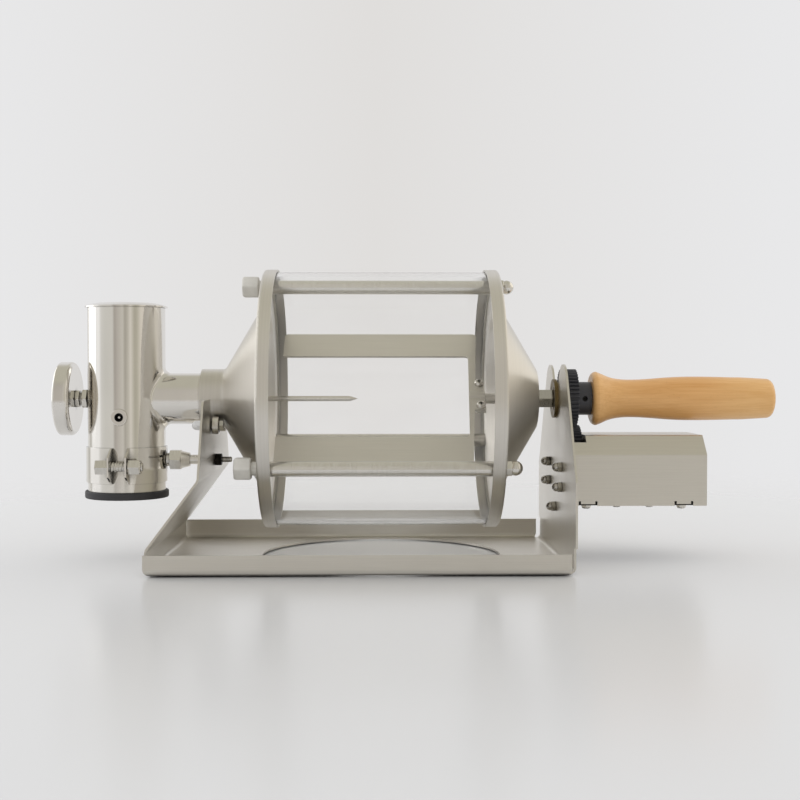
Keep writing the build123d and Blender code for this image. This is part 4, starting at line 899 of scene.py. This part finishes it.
class ROASTER_OT_threads(bpy.types.Operator):
    """Rolled threads where the stud, the clamp bolt and the thermometer's gland stand free."""

    bl_idname = "roaster.threads"
    bl_label = "Threads"

    def execute(self, context):
        s = context.scene.roaster_sizes
        lay = Matrix.Rotation(radians(90), 4, "Y")
        # The stud's thread starts clear of its lock nut and ends short of the stud's tip
        stud_low, stud_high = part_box("support_stud")
        stud_z = (stud_low[2] + stud_high[2]) / 2
        stud_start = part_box("stud_lock_nut")[1][0] + 0.4 * MM
        stud_length = stud_high[0] - 1.0 * MM - stud_start
        # The clamp's thread runs between the faces of its ears
        nut_low, nut_high = (Vector(corner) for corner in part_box("clamp_nut"))
        along = Vector((cos(s.clamp_turn), sin(s.clamp_turn), 0))
        ear_to_nut = s.clamp_gap + (nut_high.x - nut_low.x) / 2
        clamp_start = (nut_low + nut_high) / 2 - along * ear_to_nut
        lay_clamp = Matrix.Rotation(s.clamp_turn, 4, "Z") @ lay
        # The gland's thread stays clear of the nut before it and the lock nut after it
        gap = 0.3 * MM
        gland_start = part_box("gland_nut")[1][0] + gap
        gland_length = extent(solids("gland_lock_nuts")[0])[0].x - gap - gland_start
        stud = (s.stud_ridge, s.stud_pitch, stud_length)
        clamp = (s.clamp_ridge, s.clamp_pitch, s.clamp_gap)
        gland = (s.gland_ridge, s.gland_pitch, gland_length)
        # Name, start, turn, (radius, pitch, length), finish, slot
        runs = (
            ("stud_thread", (stud_start, 0, stud_z), lay, stud, BLACK, "black_steel"),
            ("clamp_thread", clamp_start, lay_clamp, clamp, BRIGHT, "bright_steel"),
            ("gland_thread", (gland_start, 0, DRUM_AXIS_Z), lay, gland, BRIGHT, "bright_steel"),
        )
        tree = thread_tree()
        for name, start, turn, (radius, pitch, length), finish, slot in runs:
            values = {"Radius": radius, "Pitch": pitch, "Length": length}
            mesh = grown(name, tree, finish, values)
            mesh.transform(Matrix.Translation(start) @ turn)
            tidy_mesh(mesh, 50)
            piece_from(name, mesh, "collector")
        return {"FINISHED"}


class ROASTER_OT_pins(bpy.types.Operator):
    """Bright round pins in the middle of the two power sockets."""

    bl_idname = "roaster.pins"
    bl_label = "Socket pins"

    def execute(self, context):
        sizes = context.scene.roaster_sizes
        radius = sizes.pin_radius
        # A straight pin with a rounded tip: heights in millimetres and shares of its radius
        shape = ((-6, 1.0), (-0.3, 1.0), (-0.12, 0.92), (0.05, 0.68), (0.12, TIP))
        levels = [(height * MM, ROUND, share * radius) for height, share in shape]
        for name, node, body, side in (
            ("fan_socket_pin", "fan_power_jack", "collector", -1),
            ("motor_socket_pin", "motor_power_jack", "base", 1),
        ):
            low, high = (Vector(corner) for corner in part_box(node))
            tip = (low + high) / 2
            tip.y = low.y + sizes.pin_depth if side < 0 else high.y - sizes.pin_depth
            single = hexed(name, levels, 2 * radius, around=32)
            mesh = repeated(name, single, [tip], (-side * pi / 2, 0, 0), BRIGHT)
            piece_from(name, mesh, body)
        return {"FINISHED"}


class ROASTER_OT_dial(bpy.types.Operator):
    """Marks and numbers on the thermometer's face."""

    bl_idname = "roaster.dial"
    bl_label = "Dial marks"

    def execute(self, context):
        sizes = context.scene.roaster_sizes
        low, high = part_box("dial_plate")
        reach = (high[1] - low[1]) / 2
        # The print stands a hair off the face, behind the pointer
        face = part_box("dial_pointer")[1][0] + 0.2 * MM
        values = {
            "Steps": sizes.dial_steps,
            "Sweep": sizes.dial_sweep,
            "Radius": reach * MARK_RING,
            "Long": reach * MARK_LENGTH,
        }
        mesh = grown("dial_marks", marks_tree(), INK, values)
        mesh.transform(Matrix.Translation((face, 0, DRUM_AXIS_Z)))
        printing = bmesh.new()
        printing.from_mesh(mesh)
        # The face looks to the left, so a figure's own right points to the front of the roaster
        facing = Matrix(((0, 0, -1, 0), (-1, 0, 0, 0), (0, 1, 0, 0), (0, 0, 0, 1)))
        for i in range(FIGURE_STEPS + 1):
            text = bpy.data.curves.new("figure", "FONT")
            text.body = str(round(sizes.dial_top * i / FIGURE_STEPS))
            text.size = sizes.figure_height
            text.align_x = "CENTER"
            text.align_y = "CENTER"
            text.extrude = PRINT_DEPTH / 2
            holder = linked("figure", text)
            figure = plain_mesh(holder)
            bpy.data.objects.remove(holder)
            angle = DIAL_START + sizes.dial_sweep * i / FIGURE_STEPS
            out = reach * FIGURE_RING
            spot = Vector((face, -sin(angle) * out, DRUM_AXIS_Z + cos(angle) * out))
            figure.transform(Matrix.Translation(spot) @ facing)
            printing.from_mesh(figure)
        printing.to_mesh(mesh)
        printing.free()
        tidy_mesh(mesh)
        mesh.materials.clear()
        mesh.materials.append(bpy.data.materials[INK])
        piece_from("dial_marks", mesh, "collector")
        return {"FINISHED"}


# The camera, fitted to the photograph: its place in metres, its way and its focal length in pixels
CAMERA_SPOT = (-0.03125, -0.935, 0.1394)
CAMERA_DIP, CAMERA_TURN = radians(1.38), radians(-1.10)
FOCAL_PIXELS, FRAME_PIXELS = 1247, 800
SENSOR_WIDTH = 36

# The floor lies just under the tray, and fades out between two distances from its middle
FLOOR_RADIUS, FLOOR_DROP = 3.0, 0.8 * MM
FLOOR_FADE = {"From Min": 0.26, "From Max": 0.95, "To Min": 1.0, "To Max": 0.0}
# How far the painted light patch under the tray's hole reaches, and where it has ended
PAINTED_LIGHT_PATCH = {"From Min": 80 * MM, "From Max": 95 * MM}

# Tones round the room, from the left by the front, the right and the back to the left again
ROOM = (
    (0.00, "#FFFFFF"), (0.035, "#FFFFFF"), (0.06, "#DEDDDA"), (0.10, "#D6D5D0"),
    (0.165, "#D8D6D1"), (0.182, "#B0ABA4"), (0.205, "#C0BBB4"), (0.25, "#D2CEC6"),
    (0.268, "#B2AEA4"), (0.288, "#C2BEB4"), (0.312, "#E2DDD4"), (0.345, "#B8B4A6"),
    (0.365, "#BEBAAC"), (0.40, "#E2DCD1"), (0.50, "#E2DCD1"), (0.55, "#C4C0B0"),
    (0.61, "#E6E6E6"), (0.70, "#E8E8E9"), (0.75, "#E0DEDC"), (0.80, "#E8E8E9"),
    (0.88, "#E4E3E0"), (0.905, "#C4C2BC"), (0.925, "#C4C2BC"), (0.94, "#FFFFFF"),
    (1.00, "#FFFFFF"),
)
BACKDROP = ((0.00, "#E8E8E9"), (0.70, "#E8E8E9"), (0.75, "#E0DEDC"), (0.80, "#E8E8E9"))
# Over these heights of a direction the walls pass into the ceiling, and the room into the ground
CEILING = {"From Min": 0.55, "From Max": 0.9}
GROUND = {"From Min": -0.02, "From Max": -0.3}


class ROASTER_OT_stage(bpy.types.Operator):
    """Pale floor, soft studio light and the camera."""

    bl_idname = "roaster.stage"
    bl_label = "Studio"

    def execute(self, context):
        scene = context.scene
        scene.view_settings.view_transform = "Standard"
        self.floor()
        self.room(scene)
        self.lamps()
        camera = bpy.data.cameras.new("camera")
        camera.sensor_width = SENSOR_WIDTH
        camera.lens = SENSOR_WIDTH * FOCAL_PIXELS / FRAME_PIXELS
        camera.clip_end = 100
        scene.camera = linked("camera", camera)
        scene.camera.location = CAMERA_SPOT
        scene.camera.rotation_euler = (radians(90) - CAMERA_DIP, 0, CAMERA_TURN)
        return {"FINISHED"}

    def floor(self):
        """A pale round floor that fades out far from the roaster."""
        work = bmesh.new()
        bmesh.ops.create_circle(work, cap_ends=True, segments=96, radius=FLOOR_RADIUS)
        floor = linked("floor", mesh_of(work, "floor"))
        floor.location = (0, 0, -FLOOR_DROP)
        tree, shader, place = new_material(
            "pale_floor", {"Roughness": 0.24, "Specular IOR Level": 0.8}
        )
        # Painted light: under the tray's hole the floor is whiter, so that it stays light in the drum's
        # shadow
        hole = (DRUM_MIDDLE_X, 0, 0)
        aside = add(tree, "ShaderNodeVectorMath", {0: place, 1: hole}, operation="DISTANCE")
        outside = add(tree, "ShaderNodeMapRange", {"Value": aside, **PAINTED_LIGHT_PATCH})
        tones = {MIX_A: opaque(linear("#FFFFFF")), MIX_B: opaque(linear("#DFDFE0"))}
        tone = add(tree, "ShaderNodeMix", {"Factor": outside, **tones}, data_type="RGBA")
        far = add(tree, "ShaderNodeVectorMath", {0: place}, operation="LENGTH")
        fade = add(
            tree, "ShaderNodeMapRange", {"Value": far, **FLOOR_FADE}, interpolation_type="SMOOTHSTEP"
        )
        feed(tree, shader, {"Base Color": tone, "Alpha": fade})
        floor.data.materials.append(bpy.data.materials["pale_floor"])

    def room(self, scene):
        """A soft room in the metal, bright at the left and warm in front, before a pale backdrop."""
        world = bpy.data.worlds.new("studio")
        world.use_nodes = True
        scene.world = world
        tree = world.node_tree
        way = add(tree, "ShaderNodeTexCoord").outputs["Generated"]
        turn = add(tree, "ShaderNodeTexGradient", {"Vector": way}, gradient_type="RADIAL")
        walls, backdrop = (
            add(
                tree,
                "ShaderNodeValToRGB",
                {"Fac": turn.outputs["Fac"]},
                [(position, linear(code)) for position, code in tones],
            )
            for tones in (ROOM, BACKDROP)
        )
        height = add(tree, "ShaderNodeSeparateXYZ", {"Vector": way}).outputs["Z"]
        above, below = (
            add(
                tree, "ShaderNodeMapRange", {"Value": height, **span}, interpolation_type="SMOOTHSTEP"
            )
            for span in (CEILING, GROUND)
        )
        rays = add(tree, "ShaderNodeLightPath").outputs
        # The backdrop shows to the eye and through glass, and the room in metal
        shown = rays["Is Camera Ray"]
        for ray in ("Is Glossy Ray", "Is Transmission Ray"):
            shown = add(tree, "ShaderNodeMath", {0: shown, 1: rays[ray]}, operation="MAXIMUM")
        ceiling, ground, even = (opaque(linear(code)) for code in ("#C2BFB1", "#E2E2E3", "#F2F2F1"))
        roofed = add(
            tree, "ShaderNodeMix", {"Factor": above, MIX_A: walls, MIX_B: ceiling}, data_type="RGBA"
        )
        seen = add(
            tree,
            "ShaderNodeMix",
            {"Factor": rays["Is Glossy Ray"], MIX_A: backdrop, MIX_B: roofed},
            data_type="RGBA",
        )
        whole = add(
            tree, "ShaderNodeMix", {"Factor": below, MIX_A: seen, MIX_B: ground}, data_type="RGBA"
        )
        # Matt surfaces take an even light
        light = add(
            tree, "ShaderNodeMix", {"Factor": shown, MIX_A: even, MIX_B: whole}, data_type="RGBA"
        )
        feed(tree, tree.nodes["Background"], {"Color": light})

    def lamps(self):
        """Two soft boxes, the left one stronger."""
        aim = Vector((0, 0, 0.1))
        # Name, place, width, height, power, colour
        for name, spot, width, height, power, code in (
            ("left_soft_box", (-1.55, 0.55, 0.7), 1.2, 1.4, 5.5, "#FFFFFF"),
            ("right_soft_box", (1.6, 0.5, 1.0), 1.6, 1.6, 4.5, "#FFF7EC"),
        ):
            lamp = bpy.data.lights.new(name, "AREA")
            lamp.shape = "RECTANGLE"
            lamp.size = width
            lamp.size_y = height
            lamp.energy = power
            lamp.color = linear(code)
            holder = linked(name, lamp)
            holder.location = spot
            holder.rotation_euler = (aim - Vector(spot)).to_track_quat("-Z", "Y").to_euler()


class ROASTER_PT_panel(bpy.types.Panel):
    """The roaster's pieces and the values that shape them."""

    bl_idname = "ROASTER_PT_panel"
    bl_label = "Gas coffee roaster"
    bl_space_type = "VIEW_3D"
    bl_region_type = "UI"
    bl_category = "Roaster"

    def draw(self, context):
        for operator in OPERATORS:
            self.layout.operator(operator.bl_idname)
        for group in (context.scene.roaster_sizes, context.scene.roaster_colours):
            for name in group.__annotations__:
                self.layout.prop(group, name)


OPERATORS = (
    ROASTER_OT_stage,
    ROASTER_OT_finishes,
    ROASTER_OT_cap_nuts,
    ROASTER_OT_plain_nuts,
    ROASTER_OT_screws,
    ROASTER_OT_knobs,
    ROASTER_OT_threads,
    ROASTER_OT_pins,
    ROASTER_OT_dial,
)
CLASSES = (RoasterSizes, RoasterColours, *OPERATORS, ROASTER_PT_panel)


def register():
    for item in CLASSES:
        bpy.utils.register_class(item)
    bpy.types.Scene.roaster_sizes = PointerProperty(type=RoasterSizes)
    bpy.types.Scene.roaster_colours = PointerProperty(type=RoasterColours)


def unregister():
    del bpy.types.Scene.roaster_colours
    del bpy.types.Scene.roaster_sizes
    for item in reversed(CLASSES):
        bpy.utils.unregister_class(item)


def main():
    register()
    bpy.ops.roaster.stage()
    bpy.ops.roaster.finishes()
    bpy.ops.roaster.cap_nuts()
    bpy.ops.roaster.plain_nuts()
    bpy.ops.roaster.screws()
    bpy.ops.roaster.knobs()
    bpy.ops.roaster.threads()
    bpy.ops.roaster.pins()
    bpy.ops.roaster.dial()


if __name__ == "__main__":
    main()
